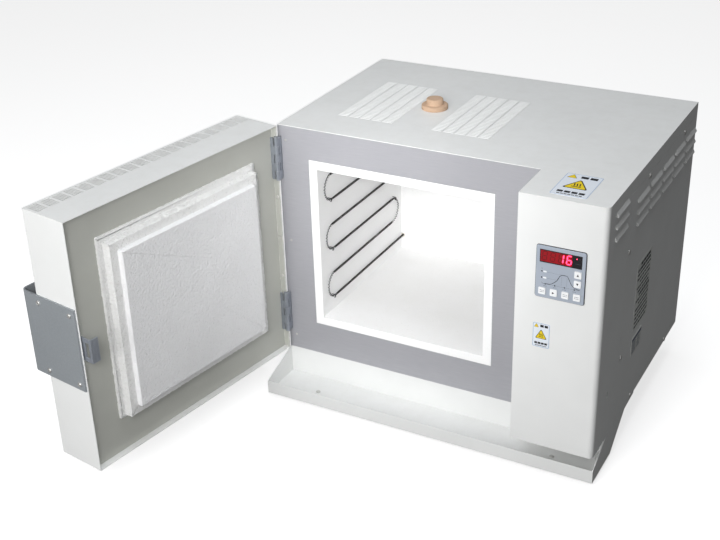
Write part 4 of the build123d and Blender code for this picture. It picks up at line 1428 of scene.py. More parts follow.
@dataclass
class ElementHooks:
    """Wire staples that hold the coils to the fibre walls.

    Args:
        wire_radius: radius of the staple's wire.
        drop: how far the staple reaches down round the coil.
    """

    wire_radius: float = 0.75
    drop: float = 5.4

    def build(self) -> None:
        """Makes all the staples as one piece in place of the node."""
        axes = AXES.cabinet()
        work = Workpiece("element_staples", Body.CABINET)
        middle = (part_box("rim_board")[0].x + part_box("rim_board")[1].x) / 2 / MM
        middle -= AXES.corner.x / MM
        for low, high in solids_of("element_hooks", axes):
            centre = (low + high) / 2
            inward = 1.0 if centre.x < middle else -1.0
            wall = low.x if inward > 0 else high.x
            top = high.z - self.wire_radius
            self.staple(work, Vector((wall, centre.y, top)), inward, high.x - low.x)
        work.hand_over(WIRE, replaces=["element_hooks"], smooth=70.0)

    def staple(self, work: Workpiece, root: Vector, inward: float, reach: float) -> None:
        """Bends one staple: out of the wall over the coil, down and back under it.

        Args:
            work: the piece to add to.
            root: where the wire leaves the wall.
            inward: +1 or -1 along X, into the chamber.
            reach: how far the staple stands from the wall.
        """
        tip = reach - self.wire_radius
        depth = self.drop
        knots = [
            (0.0, 0.0), (tip - 1.6, 0.0), (tip - 0.5, -0.3), (tip, -1.5),
            (tip, -depth + 1.5), (tip - 0.5, -depth + 0.4), (tip - 1.6, -depth),
            (tip - 2.6, -depth + 0.1),
        ]
        points = [root + Vector((inward * x, 0.0, z)) for x, z in knots]
        work.tube(points, self.wire_radius, sides=8)


# --- Ceramic fibre on the door ----------------------------------------------------------------------
@dataclass
class FibreSlab:
    """A board or blanket of ceramic fibre with cut, torn or soft sides.

    Args:
        node: the CAD node that it stands for.
        finish: its material.
        slot: the record's material slot.
        ragged: how far its cut sides are bitten in.
        tooth: size of the bites.
        soft: how far its front edge is rounded.
        corner: radius of its corners.
        step: distance between points round the slab.
        rows: rows of points up its sides.
    """

    node: str
    finish: Finish
    slot: str
    ragged: float
    tooth: float
    soft: float
    corner: float
    step: float = 1.3
    rows: int = 9

    def build(self) -> None:
        """Makes the slab in place of its node."""
        low, high = node_box(self.node, AXES.door())
        work = Workpiece(f"{self.node}_fibre", Body.DOOR)
        outline = self.outline(low, high)
        depth = high.y - low.y
        rings = []
        for row in range(self.rows + 1):
            share = row / self.rows
            rings.append(work.ring(self.bite(outline, low.y, depth, share)))
        work.skin(rings)
        work.cap(rings[0], flip=True)
        inner = self.inset(outline, self.soft + self.ragged + 1.0)
        brow = work.ring((x, high.y, z) for (x, z), _ in inner)
        work.skin([rings[-1], brow])
        work.cap(brow)
        work.hand_over(self.finish, self.slot, replaces=[self.node], smooth=34.0)

    def outline(self, low: Vector, high: Vector) -> list[tuple[Flat, Flat]]:
        """Points round the slab, each with the outward direction there.

        Args:
            low: the slab's lowest corner.
            high: its highest corner.

        Returns:
            Pairs of a point and a direction, both in X and Z.
        """
        x, z = (low.x + high.x) / 2, (low.z + high.z) / 2
        width, height = high.x - low.x, high.z - low.z
        base = rounded_outline(x, z, width, height, self.corner, steps=3)
        points: list[tuple[Flat, Flat]] = []
        for start, end in zip(base, base[1:] + base[:1]):
            a, b = Vector(start), Vector(end)
            count = max(1, round((b - a).length / self.step))
            along = (b - a).normalized()
            for i in range(count):
                point = a.lerp(b, i / count)
                points.append((tuple(point), (along.y, -along.x)))
        return points

    def inset(self, outline: Sequence[tuple[Flat, Flat]], by: float) -> list:
        """The outline drawn in by a distance."""
        return [((p[0] - n[0] * by, p[1] - n[1] * by), n) for p, n in outline]

    def bite(
        self,
        outline: Sequence[tuple[Flat, Flat]],
        back: float,
        depth: float,
        share: float,
    ) -> Iterable[Point]:
        """One row of points up the slab's side.

        Args:
            outline: the slab's outline.
            back: where the slab starts along Y.
            depth: how thick it is.
            share: how far up the side the row is, from 0 to 1.

        Yields:
            The row's points.
        """
        edge = self.soft * (1.0 - math.sqrt(max(0.0, 1.0 - share**6)))
        for (x, z), (nx, nz) in outline:
            y = back + depth * share
            place = Vector((x, y * 1.4, z)) / self.tooth
            coarse = 0.5 + 0.5 * noise.fractal(place, 1.0, 2.0, 3)
            fine = 0.5 + 0.5 * noise.noise(place * 4.0)
            inward = edge + self.ragged * min(1.0, max(0.0, 0.75 * coarse + 0.35 * fine))
            yield (x - nx * inward, y, z - nz * inward)


# --- Chimney plug, feet and gland -------------------------------------------------------------------
@dataclass
class ChimneyPlug:
    """The fired clay plug that closes the chimney, turned on a wheel.

    Args:
        disc_radius: radius of its resting disc.
        disc_height: thickness of the disc.
        knob_radius: radius of the knob.
        knob_height: height of the knob.
        stem_radius: radius of the stem in the bore.
        sides: points round the plug.
        wobble: how far its sides are drawn in at uneven places.
    """

    disc_radius: float = 22.5
    disc_height: float = 8.0
    knob_radius: float = 14.5
    knob_height: float = 10.0
    stem_radius: float = 10.7
    sides: int = 72
    wobble: float = 0.16

    def build(self) -> None:
        """Makes the plug in place of its node."""
        low, high = node_box("chimney_plug", AXES.cabinet())
        seat = high.z - self.disc_height - self.knob_height
        stem = seat - low.z
        r, k, d, h = self.disc_radius, self.knob_radius, self.disc_height, self.knob_height
        profile = [
            (self.stem_radius - 1.2, -stem), (self.stem_radius, -stem + 1.4),
            (self.stem_radius, -0.6), (self.stem_radius + 0.5, 0.0), (r - 0.9, 0.0),
            (r - 0.25, 0.3), (r, 1.1), (r, d - 2.1), (r - 0.3, d - 1.0), (r - 1.2, d - 0.25),
            (r - 2.4, d), (k + 1.6, d), (k + 0.5, d + 0.3), (k, d + 1.2), (k - 0.15, d + h - 2.0),
            (k - 0.5, d + h - 0.8), (k - 1.4, d + h - 0.15), (k - 2.6, d + h), (4.0, d + h),
        ]
        work = Workpiece("chimney_plug_clay", Body.CHIMNEY_PLUG)
        middle = Vector(((low.x + high.x) / 2, (low.y + high.y) / 2, seat))
        work.lathe(profile, middle, Vector((0, 0, 1)), self.sides)
        for vertex in work.mesh.verts:
            offset = vertex.co - middle
            if offset.z < 0.2:
                continue
            swell = noise.noise(vertex.co / 6.0) - 0.4
            flat = Vector((offset.x, offset.y, 0.0))
            if flat.length > 5.0:
                vertex.co += flat.normalized() * min(0.0, self.wobble * swell)
        work.hand_over(CLAY, replaces=["chimney_plug"], smooth=45.0)


@dataclass
class RubberFeet:
    """Moulded rubber feet with a rim, a groove and a sunk middle.

    Args:
        sides: points round a foot.
    """

    sides: int = 56

    def build(self) -> None:
        """Makes the four feet as one piece in place of the node."""
        work = Workpiece("rubber_feet", Body.CABINET)
        for low, high in solids_of("feet", AXES.cabinet()):
            middle = Vector(((low.x + high.x) / 2, (low.y + high.y) / 2, low.z))
            top, r = high.z - low.z, (high.x - low.x) / 2
            sole = r - 1.4
            profile = [
                (2.2, 2.6), (4.6, 2.6), (5.0, 2.2), (5.0, 0.9), (5.4, 0.35), (6.2, 0.0),
                (sole - 0.8, 0.0), (sole - 0.2, 0.3), (sole, 0.9), (r - 0.85, 4.2),
                (r - 1.3, 4.6), (r - 1.25, 5.4), (r - 0.6, 5.8), (r, top - 0.7),
                (r - 0.3, top - 0.2), (r - 0.9, top), (2.2, top),
            ]
            work.bored_lathe(profile, middle, Vector((0, 0, 1)), self.sides)
        work.hand_over(RUBBER, replaces=["feet"], smooth=35.0)


@dataclass
class CableGland:
    """The supply cable's gland: a hexagon flange and a ribbed dome nut round an open bore.

    Args:
        bore: radius of the way through.
        hexagon: radius of the hexagon's corners.
        flange: thickness of the hexagon.
        ribs: how many ribs the nut has.
    """

    bore: float = 4.2
    hexagon: float = 12.5
    flange: float = 7.0
    ribs: int = 24

    def build(self) -> None:
        """Makes the gland in place of its node."""
        low, high = node_box("cable_gland", AXES.cabinet())
        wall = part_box("back_panel")[1].y / MM - AXES.corner.y / MM
        middle = Vector(((low.x + high.x) / 2, wall, (low.z + high.z) / 2))
        along = Vector((0, 1, 0))
        work = Workpiece("cable_gland_nut", Body.CABINET)
        across, up = work.square_to(along)
        inner, reach = wall - low.y, high.y - wall
        sides = self.ribs * 4

        def ring(shape: Callable[[float], float], at: float) -> list[bmesh.types.BMVert]:
            """One ring of points whose radius a shape gives for each direction."""
            turns = (math.tau * i / sides for i in range(sides))
            return work.ring(
                middle + along * at + shape(t) * (across * math.cos(t) + up * math.sin(t))
                for t in turns
            )

        def round_to(radius: float) -> Callable[[float], float]:
            """A round shape."""
            return lambda turn: radius

        def hexed(radius: float) -> Callable[[float], float]:
            """A hexagon with its corners at a radius."""
            flat = radius * math.cos(math.pi / 6)
            sixth = math.pi / 3
            return lambda turn: flat / math.cos(turn % sixth - sixth / 2)

        def ribbed(radius: float) -> Callable[[float], float]:
            """A round shape with shallow ribs."""
            return lambda turn: radius - 0.35 * (0.5 + 0.5 * math.cos(turn * self.ribs))

        full = self.flange
        rings = [
            ring(round_to(self.bore), -inner), ring(round_to(7.8), -inner),
            ring(round_to(7.8), 0.0), ring(hexed(self.hexagon - 0.6), 0.0),
            ring(hexed(self.hexagon), 0.7), ring(hexed(self.hexagon), full - 0.8),
            ring(round_to(self.hexagon - 2.0), full), ring(round_to(10.0), full),
            ring(ribbed(10.4), full + 0.8), ring(ribbed(9.9), full + 4.0),
            ring(ribbed(9.2), reach - 1.2), ring(round_to(8.0), reach),
            ring(round_to(self.bore + 1.2), reach), ring(round_to(self.bore), reach - 0.9),
        ]
        work.skin([*rings, rings[0]])
        work.hand_over(BLACK, replaces=["cable_gland"], smooth=30.0)


# --- Louvred strips on the top ----------------------------------------------------------------------
@dataclass
class TopVentHoods:
    """Small hoods pressed up over the slots in the top cover, open to the back.

    Args:
        blocks: the middle of each block of strips, across.
        middle: the blocks' middle, from front to back.
        strips: how many strips make a block.
        strip_pitch: distance between strips.
        slots: how many slots to a strip.
        slot_pitch: distance between slots.
        length: length of a hood, across.
        depth: its size from front to back.
        rise: how far it stands up.
        sheet: thickness of its sheet.
    """

    blocks: tuple[float, float] = (122.7, 295.0)
    middle: float = 171.0
    strips: int = 5
    strip_pitch: float = 20.6
    slots: int = 31
    slot_pitch: float = 6.0
    length: float = 18.6
    depth: float = 3.7
    rise: float = 0.85
    sheet: float = 0.4

    def build(self) -> None:
        """Makes every hood as one piece on the top cover."""
        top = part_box("top_cover")[1].z / MM
        work = Workpiece("top_vent_hoods", Body.CABINET)
        for block in self.blocks:
            for strip in range(self.strips):
                x = block + (strip - (self.strips - 1) / 2) * self.strip_pitch
                for slot in range(self.slots):
                    y = self.middle + (slot - (self.slots - 1) / 2) * self.slot_pitch
                    self.hood(work, Vector((x, y, top)))
        work.hand_over(PAINT, smooth=50.0)

    def hood(self, work: Workpiece, middle: Vector) -> None:
        """Presses up one hood as a thin shell, open to the back.

        Args:
            work: the piece to add to.
            middle: the middle of its slot, on the cover.
        """
        half = self.length / 2
        across = ((-half, 0.0), (-half + 0.9, 0.75), (-half + 2.2, 1.0))
        across = (*across, *((-x, share) for x, share in reversed(across)))
        deep = ((0.0, 0.0), (0.3, 0.5), (0.65, 0.86), (1.0, 1.0))
        start = middle.y + 1.3 - self.depth
        outer, inner = [], []
        for along, rise in deep:
            y = start + along * self.depth
            tops = [(x, self.rise * rise * share) for x, share in across]
            outer.append(work.ring((middle.x + x, y, middle.z + z) for x, z in tops))
            inner.append(work.ring(
                (middle.x + x, y, middle.z + max(z - self.sheet, -0.05)) for x, z in tops
            ))
        work.skin(outer, closed=False)
        work.skin([row[::-1] for row in inner], closed=False)
        work.skin([outer[0], inner[0]], closed=False)
        work.skin([outer[-1], inner[-1]], closed=False)
        for end in (0, -1):
            work.skin([[row[end] for row in outer], [row[end] for row in inner]], closed=False)


# --- Printed labels ---------------------------------------------------------------------------------
@dataclass
class WarningLabel:
    """A white film with a border, two plain triangles and bars where words would be.

    Args:
        name: what the printed pieces are named after.
        surface: the film's front.
        width: the film's width.
        height: the film's height.
    """

    name: str
    surface: Surface
    width: float
    height: float

    def build(self) -> None:
        """Prints the label in four inks."""
        w, h = self.width, self.height
        border = Print(f"{self.name}_border", Body.CABINET, self.surface)
        border.frame(w - 0.8, h - 0.8, 2.4, 0.7)
        border.hand_over(BLUE_INK, slot=LABEL.slot)
        black = Print(f"{self.name}_black", Body.CABINET, self.surface)
        yellow = Print(f"{self.name}_yellow", Body.CABINET, self.surface, proud=0.08)
        for x, y, size in ((-0.29 * w, 0.36 * h, 0.28 * w), (0.0, -0.01 * h, 0.7 * w)):
            black.triangle(x, y, size, size * 0.06)
            yellow.triangle(x, y, size * 0.84, size * 0.04)
        self.heat_sign(0.0, -0.03 * h, 0.68 * w)
        self.word(black, 0.16 * w, 0.385 * h, 0.5 * w, 0.12 * h, 2)
        self.word(black, 0.0, -0.33 * h, 0.78 * w, 0.1 * h, 4)
        self.word(black, 0.0, -0.43 * h, 0.7 * w, 0.035 * h, 7)
        black.hand_over(BLACK_INK, slot=LABEL.slot)
        yellow.hand_over(YELLOW_INK, slot=LABEL.slot)

    def word(
        self, ink: Print, x: float, y: float, width: float, height: float, blocks: int
    ) -> None:
        """Prints a row of plain blocks in place of lettering.

        Args:
            ink: the print to add to.
            x: the row's middle across.
            y: the row's middle up.
            width: the row's length.
            height: the blocks' height.
            blocks: how many blocks.
        """
        pitch = width / blocks
        for i in range(blocks):
            at = x + (i - (blocks - 1) / 2) * pitch
            ink.bar(at, y, pitch * 0.8, height * 0.8)

    def heat_sign(self, x: float, y: float, size: float) -> None:
        """Prints three rising waves over a bar inside the large triangle.

        Args:
            x: the sign's middle across.
            y: the waves' foot.
            size: the size that it is drawn to.
        """
        sign = Print(f"{self.name}_heat_sign", Body.CABINET, self.surface, proud=0.16)
        for i in (-1, 0, 1):
            wave = [
                (x + i * 0.11 * size + 0.022 * size * math.sin(t * math.tau), y + size * 0.24 * t)
                for t in (step / 8 for step in range(9))
            ]
            sign.stroke(wave, size * 0.045)
        sign.bar(x, y - size * 0.07, size * 0.4, size * 0.05)
        sign.hand_over(BLACK_INK, slot=LABEL.slot)


def warning_labels() -> list[WarningLabel]:
    """Finds the two label films.

    Returns:
        The label on the top cover and the one on the housing's front.
    """
    boxes = solids_of("warning_labels", AXES.cabinet())
    across = Vector((1, 0, 0))
    low, high = max(boxes, key=lambda box: box[1].z)
    middle = Vector(((low.x + high.x) / 2, (low.y + high.y) / 2, high.z))
    on_top = Surface(middle, across, Vector((0, 1, 0)))
    top = WarningLabel("top_label", on_top, high.x - low.x, high.y - low.y)
    low, high = min(boxes, key=lambda box: box[0].y)
    middle = Vector(((low.x + high.x) / 2, low.y, (low.z + high.z) / 2))
    in_front = Surface(middle, across, Vector((0, 0, 1)))
    return [top, WarningLabel("front_label", in_front, high.x - low.x, high.z - low.z)]


@dataclass
class SideNotice:
    """Printed notice and rating plate on the right side, with bars where words would be.

    Args:
        seed: what the bars' lengths are drawn from.
    """

    seed: int = 11

    def build(self) -> None:
        """Prints both."""
        (low, high) = max(solids_of("side_plates", AXES.cabinet()), key=lambda b: b[1].z)
        face = Surface(
            Vector((high.x, (low.y + high.y) / 2, (low.z + high.z) / 2)),
            Vector((0, 1, 0)),
            Vector((0, 0, 1)),
        )
        draws = random.Random(self.seed)
        width, height = high.y - low.y, high.z - low.z
        notice = Print("side_notice_print", Body.CABINET, face, film=0.05)
        rows = 15
        for row in range(rows):
            y = height / 2 - 6.0 - row * (height - 12.0) / (rows - 1)
            x = -width / 2 + 5.0
            tall = 5.0 if row in (0, 1, 7) else 3.4
            x += draws.choice((0.0, 0.0, 6.0, 14.0))
            while x < width / 2 - 10.0:
                length = draws.uniform(4.0, 13.0)
                end = min(x + length, width / 2 - 4.0)
                notice.bar((x + end) / 2, y, end - x, tall)
                x = end + draws.uniform(1.2, 2.4)
        notice.hand_over(BLACK_INK, slot=PLATE.slot)
        self.plate()

    def plate(self) -> None:
        """Prints the rating plate: a dark band, ruled lines and short bars."""
        (low, high) = min(solids_of("side_plates", AXES.cabinet()), key=lambda b: b[0].z)
        face = Surface(
            Vector((high.x, (low.y + high.y) / 2, (low.z + high.z) / 2)),
            Vector((0, 1, 0)),
            Vector((0, 0, 1)),
        )
        width, height = high.y - low.y, high.z - low.z
        ink = Print("rating_plate_print", Body.CABINET, face, film=0.05)
        ink.bar(0.0, height / 2 - 4.6, width - 3.0, 5.6)
        for row in range(5):
            y = height / 2 - 11.0 - row * 4.4
            ink.bar(0.0, y + 1.9, width - 3.0, 0.3)
            ink.bar(-width / 4, y, width * 0.34, 1.5)
            ink.bar(width / 5, y, width * (0.2 + 0.05 * (row % 3)), 1.5)
        ink.hand_over(PLATE_INK, slot=PLATE.slot)


# --- Controller -------------------------------------------------------------------------------------
class Segment(Enum):
    """The seven segments of a figure."""

    TOP = "a"
    UPPER_RIGHT = "b"
    LOWER_RIGHT = "c"
    BOTTOM = "d"
    LOWER_LEFT = "e"
    UPPER_LEFT = "f"
    MIDDLE = "g"


FIGURES: dict[str, str] = {" ": "", "1": "bc", "6": "acdefg"}


@dataclass
class ControllerFace:
    """The controller's window, firing curve, lamps, key symbols and a black frame behind the bezel as a painted
    shadow line.

    Args:
        reading: the figures shown, one to each of the four places.
        figure_height: height of a figure.
        figure_width: width of a figure.
        figure_pitch: distance between figures.
        last_figure: middle of the last figure, from the controller's middle.
        figure_middle: middle of the figures above the controller's middle.
        red_share: how much of the window is red.
        line: width of a figure's segments.
        slant: how far the figures lean.
    """

    reading: str = "  16"
    figure_height: float = 15.6
    figure_width: float = 8.6
    figure_pitch: float = 12.4
    last_figure: float = 12.4
    figure_middle: float = 26.6
    red_share: float = 0.77
    line: float = 1.9
    slant: float = 0.1

    def build(self) -> None:
        """Prints and lights everything on the controller."""
        low, high = node_box("controller_bezel", AXES.cabinet())
        middle = Vector(((low.x + high.x) / 2, low.y, (low.z + high.z) / 2))
        right, up = Vector((1, 0, 0)), Vector((0, 0, 1))
        face = Surface(middle, right, up)
        window_low, window_high = node_box("display_window", AXES.cabinet())
        glass = Surface(
            Vector((middle.x, window_low.y, middle.z)), right, up
        )
        left = window_low.x - middle.x
        width = window_high.x - window_low.x
        self.window(glass, left, width, window_low.z - middle.z, window_high.z - middle.z)
        # A black frame behind the bezel, a little wider than it: a painted shadow line round the bezel's edge.
        seat = Surface(Vector((middle.x, high.y, middle.z)), right, up)
        shadow_frame = Print("controller_shadow_frame", Body.CABINET, seat, film=1.2)
        shadow_frame.frame(high.x - low.x + 1.4, high.z - low.z + 1.4, 3.6, 2.0)
        shadow_frame.hand_over(BLACK)
        self.curve(face)
        self.keys(middle, right, up)

    def window(
        self, glass: Surface, left: float, width: float, bottom: float, top: float
    ) -> None:
        """Lays the red filter, the figures and the lamps on the window.

        Args:
            glass: the window's front.
            left: the window's left edge.
            width: its width.
            bottom: its lower edge.
            top: its upper edge.
        """
        height = top - bottom
        red = Print("red_filter", Body.CABINET, glass, film=0.03)
        red.rounded(
            left + 1.2 + (width * self.red_share - 1.6) / 2,
            (top + bottom) / 2,
            width * self.red_share - 1.6,
            height - 3.4,
            0.8,
        )
        red.hand_over(RED_FILTER, slot=FILTER.slot)
        lit = Print("lit_figures", Body.CABINET, glass, proud=0.04, film=0.04)
        dim = Print("dim_figures", Body.CABINET, glass, proud=0.03, film=0.02)
        for place, character in enumerate(self.reading):
            x = self.last_figure - (len(self.reading) - 1 - place) * self.figure_pitch
            for segment in Segment:
                ink = lit if segment.value in FIGURES[character] else dim
                self.segment(ink, x, segment)
        lamp_x = left + width * (self.red_share + 0.1)
        lit.dot(lamp_x, self.figure_middle + 4.4, 0.8)
        lit.hand_over(LIT, slot=FILTER.slot)
        dim.hand_over(DIM, slot=FILTER.slot)
        marks = Print("window_marks", Body.CABINET, glass, film=0.04)
        marks.dot(lamp_x + 4.4, self.figure_middle + 4.4, 0.6)
        for i in range(4):
            marks.bar(lamp_x - 1.5 + i * 2.1, self.figure_middle - 3.6, 1.3, 0.5)
        marks.hand_over(GREY_INK, slot=FILTER.slot)

    def segment(self, ink: Print, x: float, segment: Segment) -> None:
        """Adds one segment of a figure.

        Args:
            ink: the print to add to.
            x: the figure's middle across.
            segment: which segment.
        """
        half_w = self.figure_width / 2 - self.line / 2
        half_h = self.figure_height / 2 - self.line / 2
        upright = {
            Segment.UPPER_RIGHT: (half_w, half_h / 2),
            Segment.LOWER_RIGHT: (half_w, -half_h / 2),
            Segment.LOWER_LEFT: (-half_w, -half_h / 2),
            Segment.UPPER_LEFT: (-half_w, half_h / 2),
        }
        level = {Segment.TOP: half_h, Segment.MIDDLE: 0.0, Segment.BOTTOM: -half_h}
        if segment in upright:
            cx, cy = upright[segment]
            reach, (ax, ay) = half_h / 2 - 0.25, (0.0, 1.0)
        else:
            cx, cy = 0.0, level[segment]
            reach, (ax, ay) = half_w - 0.25, (1.0, 0.0)
        t = self.line / 2
        shape = (
            (-reach, 0.0), (-reach + t, -t), (reach - t, -t),
            (reach, 0.0), (reach - t, t), (-reach + t, t),
        )
        outline = []
        for along, aside in shape:
            px = cx + along * ax - aside * ay
            py = cy + along * ay + aside * ax
            outline.append((x + px + self.slant * py, self.figure_middle + py))
        ink.polygon(outline)

    def curve(self, face: Surface) -> None:
        """Prints the firing curve with its guide lines and step marks.

        Args:
            face: the bezel's front.
        """
        ink = Print("firing_curve", Body.CABINET, face, film=0.04)
        knots = [
            (-22.0, -18.8), (-15.0, -18.4), (-11.5, -16.8), (-8.0, -13.6), (-4.6, -10.6),
            (-2.4, -6.2), (-0.4, -2.2), (1.6, -0.2), (4.5, 0.6), (10.2, 0.7), (11.8, -0.6),
            (13.6, -4.0), (15.7, -8.3), (18.0, -12.6), (21.0, -15.6), (24.5, -17.4),
            (30.5, -18.2),
        ]
        ink.stroke(knots, 0.85)
        ink.stroke([(-27.9, -17.0), (-26.6, -19.0), (-22.0, -19.4)], 0.35)
        for x in (-22.0, -7.3, 7.5, 22.6):
            ink.dot(x, -19.2, 1.15)
        for y in (0.9, -9.3):
            ink.dot(-27.9, y, 1.2)
        ink.dot(-27.9, 5.6, 0.6)
        ink.hand_over(BLACK_INK, slot=BEZEL.slot)
        guides = Print("curve_guides", Body.CABINET, face, film=0.03)
        guides.dashes((-19.5, 0.6), (3.0, 0.6), 0.35, 1.7)
        guides.dashes((-19.5, -9.4), (-5.4, -9.4), 0.35, 1.7)
        guides.dashes((2.6, -2.6), (2.6, -17.4), 0.35, 1.7)
        guides.dashes((10.8, -1.6), (10.8, -17.4), 0.35, 1.7)
        guides.stroke([(-21.0, -19.2), (30.0, -19.2)], 0.25)
        for x in (-22.0, -7.3, 7.5, 22.6):
            for i in (-1, 0, 1):
                guides.bar(x + i * 1.9, -22.6, 1.3, 0.8)
        guides.hand_over(GREY_INK, slot=BEZEL.slot)
        flags = Print("curve_flags", Body.CABINET, face, film=0.03)
        for y in (0.9, -9.3):
            flags.rounded(-23.3, y, 5.4, 2.6, 1.2)
        flags.hand_over(WHITE_INK, slot=BEZEL.slot)

    def keys(self, middle: Vector, right: Vector, up: Vector) -> None:
        """Prints a symbol on each key: arrows on three and two bars on the others.

        Args:
            middle: the middle of the bezel's front.
            right: the direction across.
            up: the direction up.
        """
        turns = {"key_up": 90.0, "key_down": -90.0, "key_shift": 0.0}
        for key in ("key_up", "key_down", "key_menu", "key_shift", "key_set", "key_run"):
            low, high = node_box(key, AXES.cabinet())
            top = Surface(
                Vector(((low.x + high.x) / 2, low.y, (low.z + high.z) / 2)), right, up
            )
            ink = Print(f"{key}_symbol", key, top, film=0.03)
            if key in turns:
                spin = math.radians(turns[key])
                arrow = ((-1.9, -1.8), (1.9, 0.0), (-1.9, 1.8))
                ink.polygon([
                    (x * math.cos(spin) - y * math.sin(spin), x * math.sin(spin) + y * math.cos(spin))
                    for x, y in arrow
                ])
                ink.hand_over(BLACK_INK, slot=KEY.slot)
                continue
            for level in (1.3, -1.3):
                for i in (-1, 0, 1):
                    ink.bar(i * 2.3, level, 1.6, 0.9)
            ink.hand_over(GREY_INK, slot=KEY.slot)


# --- Carried-over parts -----------------------------------------------------------------------------
@dataclass
class Carcass:
    """Every CAD part that keeps its shape and gets its finish from the record's slot.

    Args:
        own: finishes of the nodes that don't take their slot's.
    """

    own: dict[str, Finish] = field(default_factory=lambda: {"door_insulation": WOOL_AND_VENT_SHADE})

    def dress(self) -> None:
        """Puts each node's finish on it."""
        for part in frame["record"]["subparts"]:
            slot, node = part["material_slot"], frame["nodes"][part["node"]]
            made = self.own.get(part["node"], FINISHES[slot]).material()
            if not node.data.materials:
                node.data.materials.append(made)
            for number in range(len(node.material_slots)):
                node.material_slots[number].material = made
            log.info("%s: %s", part["node"], slot)


# --- Studio -----------------------------------------------------------------------------------------
COOL: Point = (0.94, 0.97, 1.0)


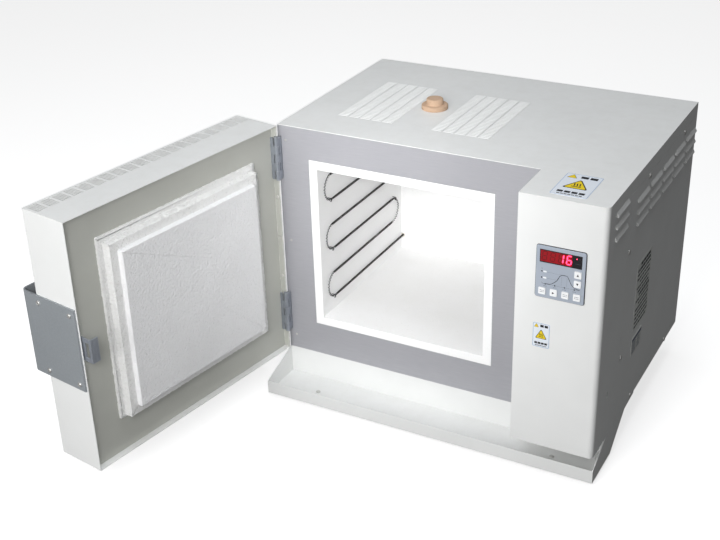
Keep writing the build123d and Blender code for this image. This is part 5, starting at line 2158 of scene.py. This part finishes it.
@dataclass
class Studio:
    """A pale floor, soft lights and the camera.

    Args:
        floor_size: side of the floor, in metres.
        eye: where the camera stands, in metres.
        focal_length: the lens, in millimetres.
        sensor: width of the camera's sensor, in millimetres.
        azimuth: how far the camera stands round to the right, in degrees.
        tilt: how far it looks up from straight down, in degrees.
        roll: how far it leans, in degrees.
    """

    floor_size: float = 40.0
    eye: Point = (0.828815, -1.562532, 1.2006)
    focal_length: float = 60.69
    sensor: float = 36.0
    azimuth: float = 29.11
    tilt: float = 62.469
    roll: float = -1.804

    def build(self) -> None:
        """Sets up the floor, the lights, the surroundings and the camera."""
        self.floor()
        self.light("front_light", (-0.75, -2.3, 1.2), (0.0, 0.0, 0.25), 1.5, 17.0)
        self.light("low_light", (-0.2, -2.6, 0.7), (0.0, 0.0, 0.25), 1.2, 16.0)
        self.light("top_light", (0.15, 0.05, 2.4), (0.0, 0.0, 0.3), 1.3, 19.5, tint=COOL)
        self.light("door_light", (0.3, -1.25, 0.95), (-0.28, -0.2, 0.28), 0.5, 8.2)
        self.light("chamber_light", (0.3, -0.75, 0.75), (-0.135, 0.2, 0.28), 0.3, 0.36, 40.0)
        self.surroundings(0.18)
        self.camera()
        bpy.context.scene.view_settings.view_transform = "Standard"

    def floor(self) -> None:
        """Lays the floor."""
        bpy.ops.mesh.primitive_plane_add(size=self.floor_size)
        floor = bpy.context.object
        floor.name = "studio_floor"
        made = bpy.data.materials.new("studio_floor")
        made.use_nodes = True
        made.node_tree.nodes.clear()
        nodes = Nodes(made.node_tree)
        seen = nodes.add("ShaderNodeBsdfPrincipled", {
            "Base Color": tone((214, 214, 214)),
            "Roughness": 0.9,
            "Emission Color": (1.0, 1.0, 1.0, 1.0),
            "Emission Strength": 0.7,
        })
        felt = nodes.add("ShaderNodeBsdfPrincipled", {
            "Base Color": tone((112, 112, 112)), "Roughness": 0.9,
        })
        eye = nodes.add("ShaderNodeLightPath").outputs["Is Camera Ray"]
        either = nodes.add(
            "ShaderNodeMixShader", {0: eye, 1: felt.outputs[0], 2: seen.outputs[0]}
        )
        nodes.add("ShaderNodeOutputMaterial", {"Surface": either.outputs[0]})
        floor.data.materials.append(made)

    def light(
        self,
        name: str,
        place: Point,
        towards: Point,
        size: float,
        power: float,
        spread: float = 180.0,
        tint: Point = (1.0, 1.0, 1.0),
    ) -> None:
        """Hangs one soft light.

        Args:
            name: its name.
            place: where it hangs, in metres.
            towards: what it faces.
            size: its side, in metres.
            power: its power, in watts.
            spread: the width of its beam, in degrees.
            tint: its colour.
        """
        lamp = bpy.data.lights.new(name, "AREA")
        lamp.size, lamp.energy, lamp.spread = size, power, math.radians(spread)
        lamp.color = tint
        held = bpy.data.objects.new(name, lamp)
        held.location = place
        facing = Vector(towards) - Vector(place)
        held.rotation_euler = facing.to_track_quat("-Z", "Y").to_euler()
        held.visible_camera = False
        bpy.context.scene.collection.objects.link(held)

    def surroundings(self, strength: float) -> None:
        """Fills the room with an even pale light.

        Args:
            strength: how bright the room is.
        """
        world = bpy.data.worlds.new("studio_room")
        world.use_nodes = True
        world.node_tree.nodes.clear()
        nodes = Nodes(world.node_tree)
        glow = nodes.add(
            "ShaderNodeBackground", {"Color": (1.0, 1.0, 1.0, 1.0), "Strength": strength}
        )
        nodes.add("ShaderNodeOutputWorld", {"Surface": glow.outputs[0]})
        bpy.context.scene.world = world

    def camera(self) -> None:
        """Places the camera above the kiln's right front corner."""
        lens = bpy.data.cameras.new("camera")
        lens.lens, lens.sensor_width = self.focal_length, self.sensor
        held = bpy.data.objects.new("camera", lens)
        turn = Matrix.Rotation(math.radians(self.azimuth), 4, "Z")
        turn @= Matrix.Rotation(math.radians(self.tilt), 4, "X")
        turn @= Matrix.Rotation(math.radians(self.roll), 4, "Z")
        held.matrix_world = Matrix.Translation(self.eye) @ turn
        bpy.context.scene.collection.objects.link(held)
        bpy.context.scene.camera = held


def main() -> None:
    """Builds the looks piece by piece."""
    logging.basicConfig(level=logging.INFO, format="%(name)s: %(message)s")
    Carcass().dress()
    CrossHeadScrews("cover_screws", Body.CABINET).build()
    CrossHeadScrews("foot_screws", Body.CABINET, heads_up=True).build()
    CrossHeadScrews("handle_screws", Body.DOOR).build()
    CrossHeadScrews("liner_screws", Body.DOOR, 3.0, 1.4, 1.5, recess_depth=0.8).build()
    for side in ("left", "right"):
        HeatingElement(side).build()
    ElementHooks().build()
    LatchSlotShade().build()
    FibreSlab("plug_blanket", PLUG_BLANKET, BLANKET.slot, 2.4, 9.0, 2.0, 4.0, rows=4).build()
    FibreSlab("plug_seal_board", PLUG_BLANKET, BOARD.slot, 2.6, 4.2, 0.7, 1.5, rows=12).build()
    FibreSlab("plug_face_board", PLUG_BOARD_SHADED, BOARD.slot, 0.4, 6.0, 1.1, 1.2).build()
    ChimneyPlug().build()
    RubberFeet().build()
    CableGland().build()
    TopVentHoods().build()
    for label in warning_labels():
        label.build()
    SideNotice().build()
    ControllerFace().build()
    Studio().build()


if __name__ == "__main__":
    main()
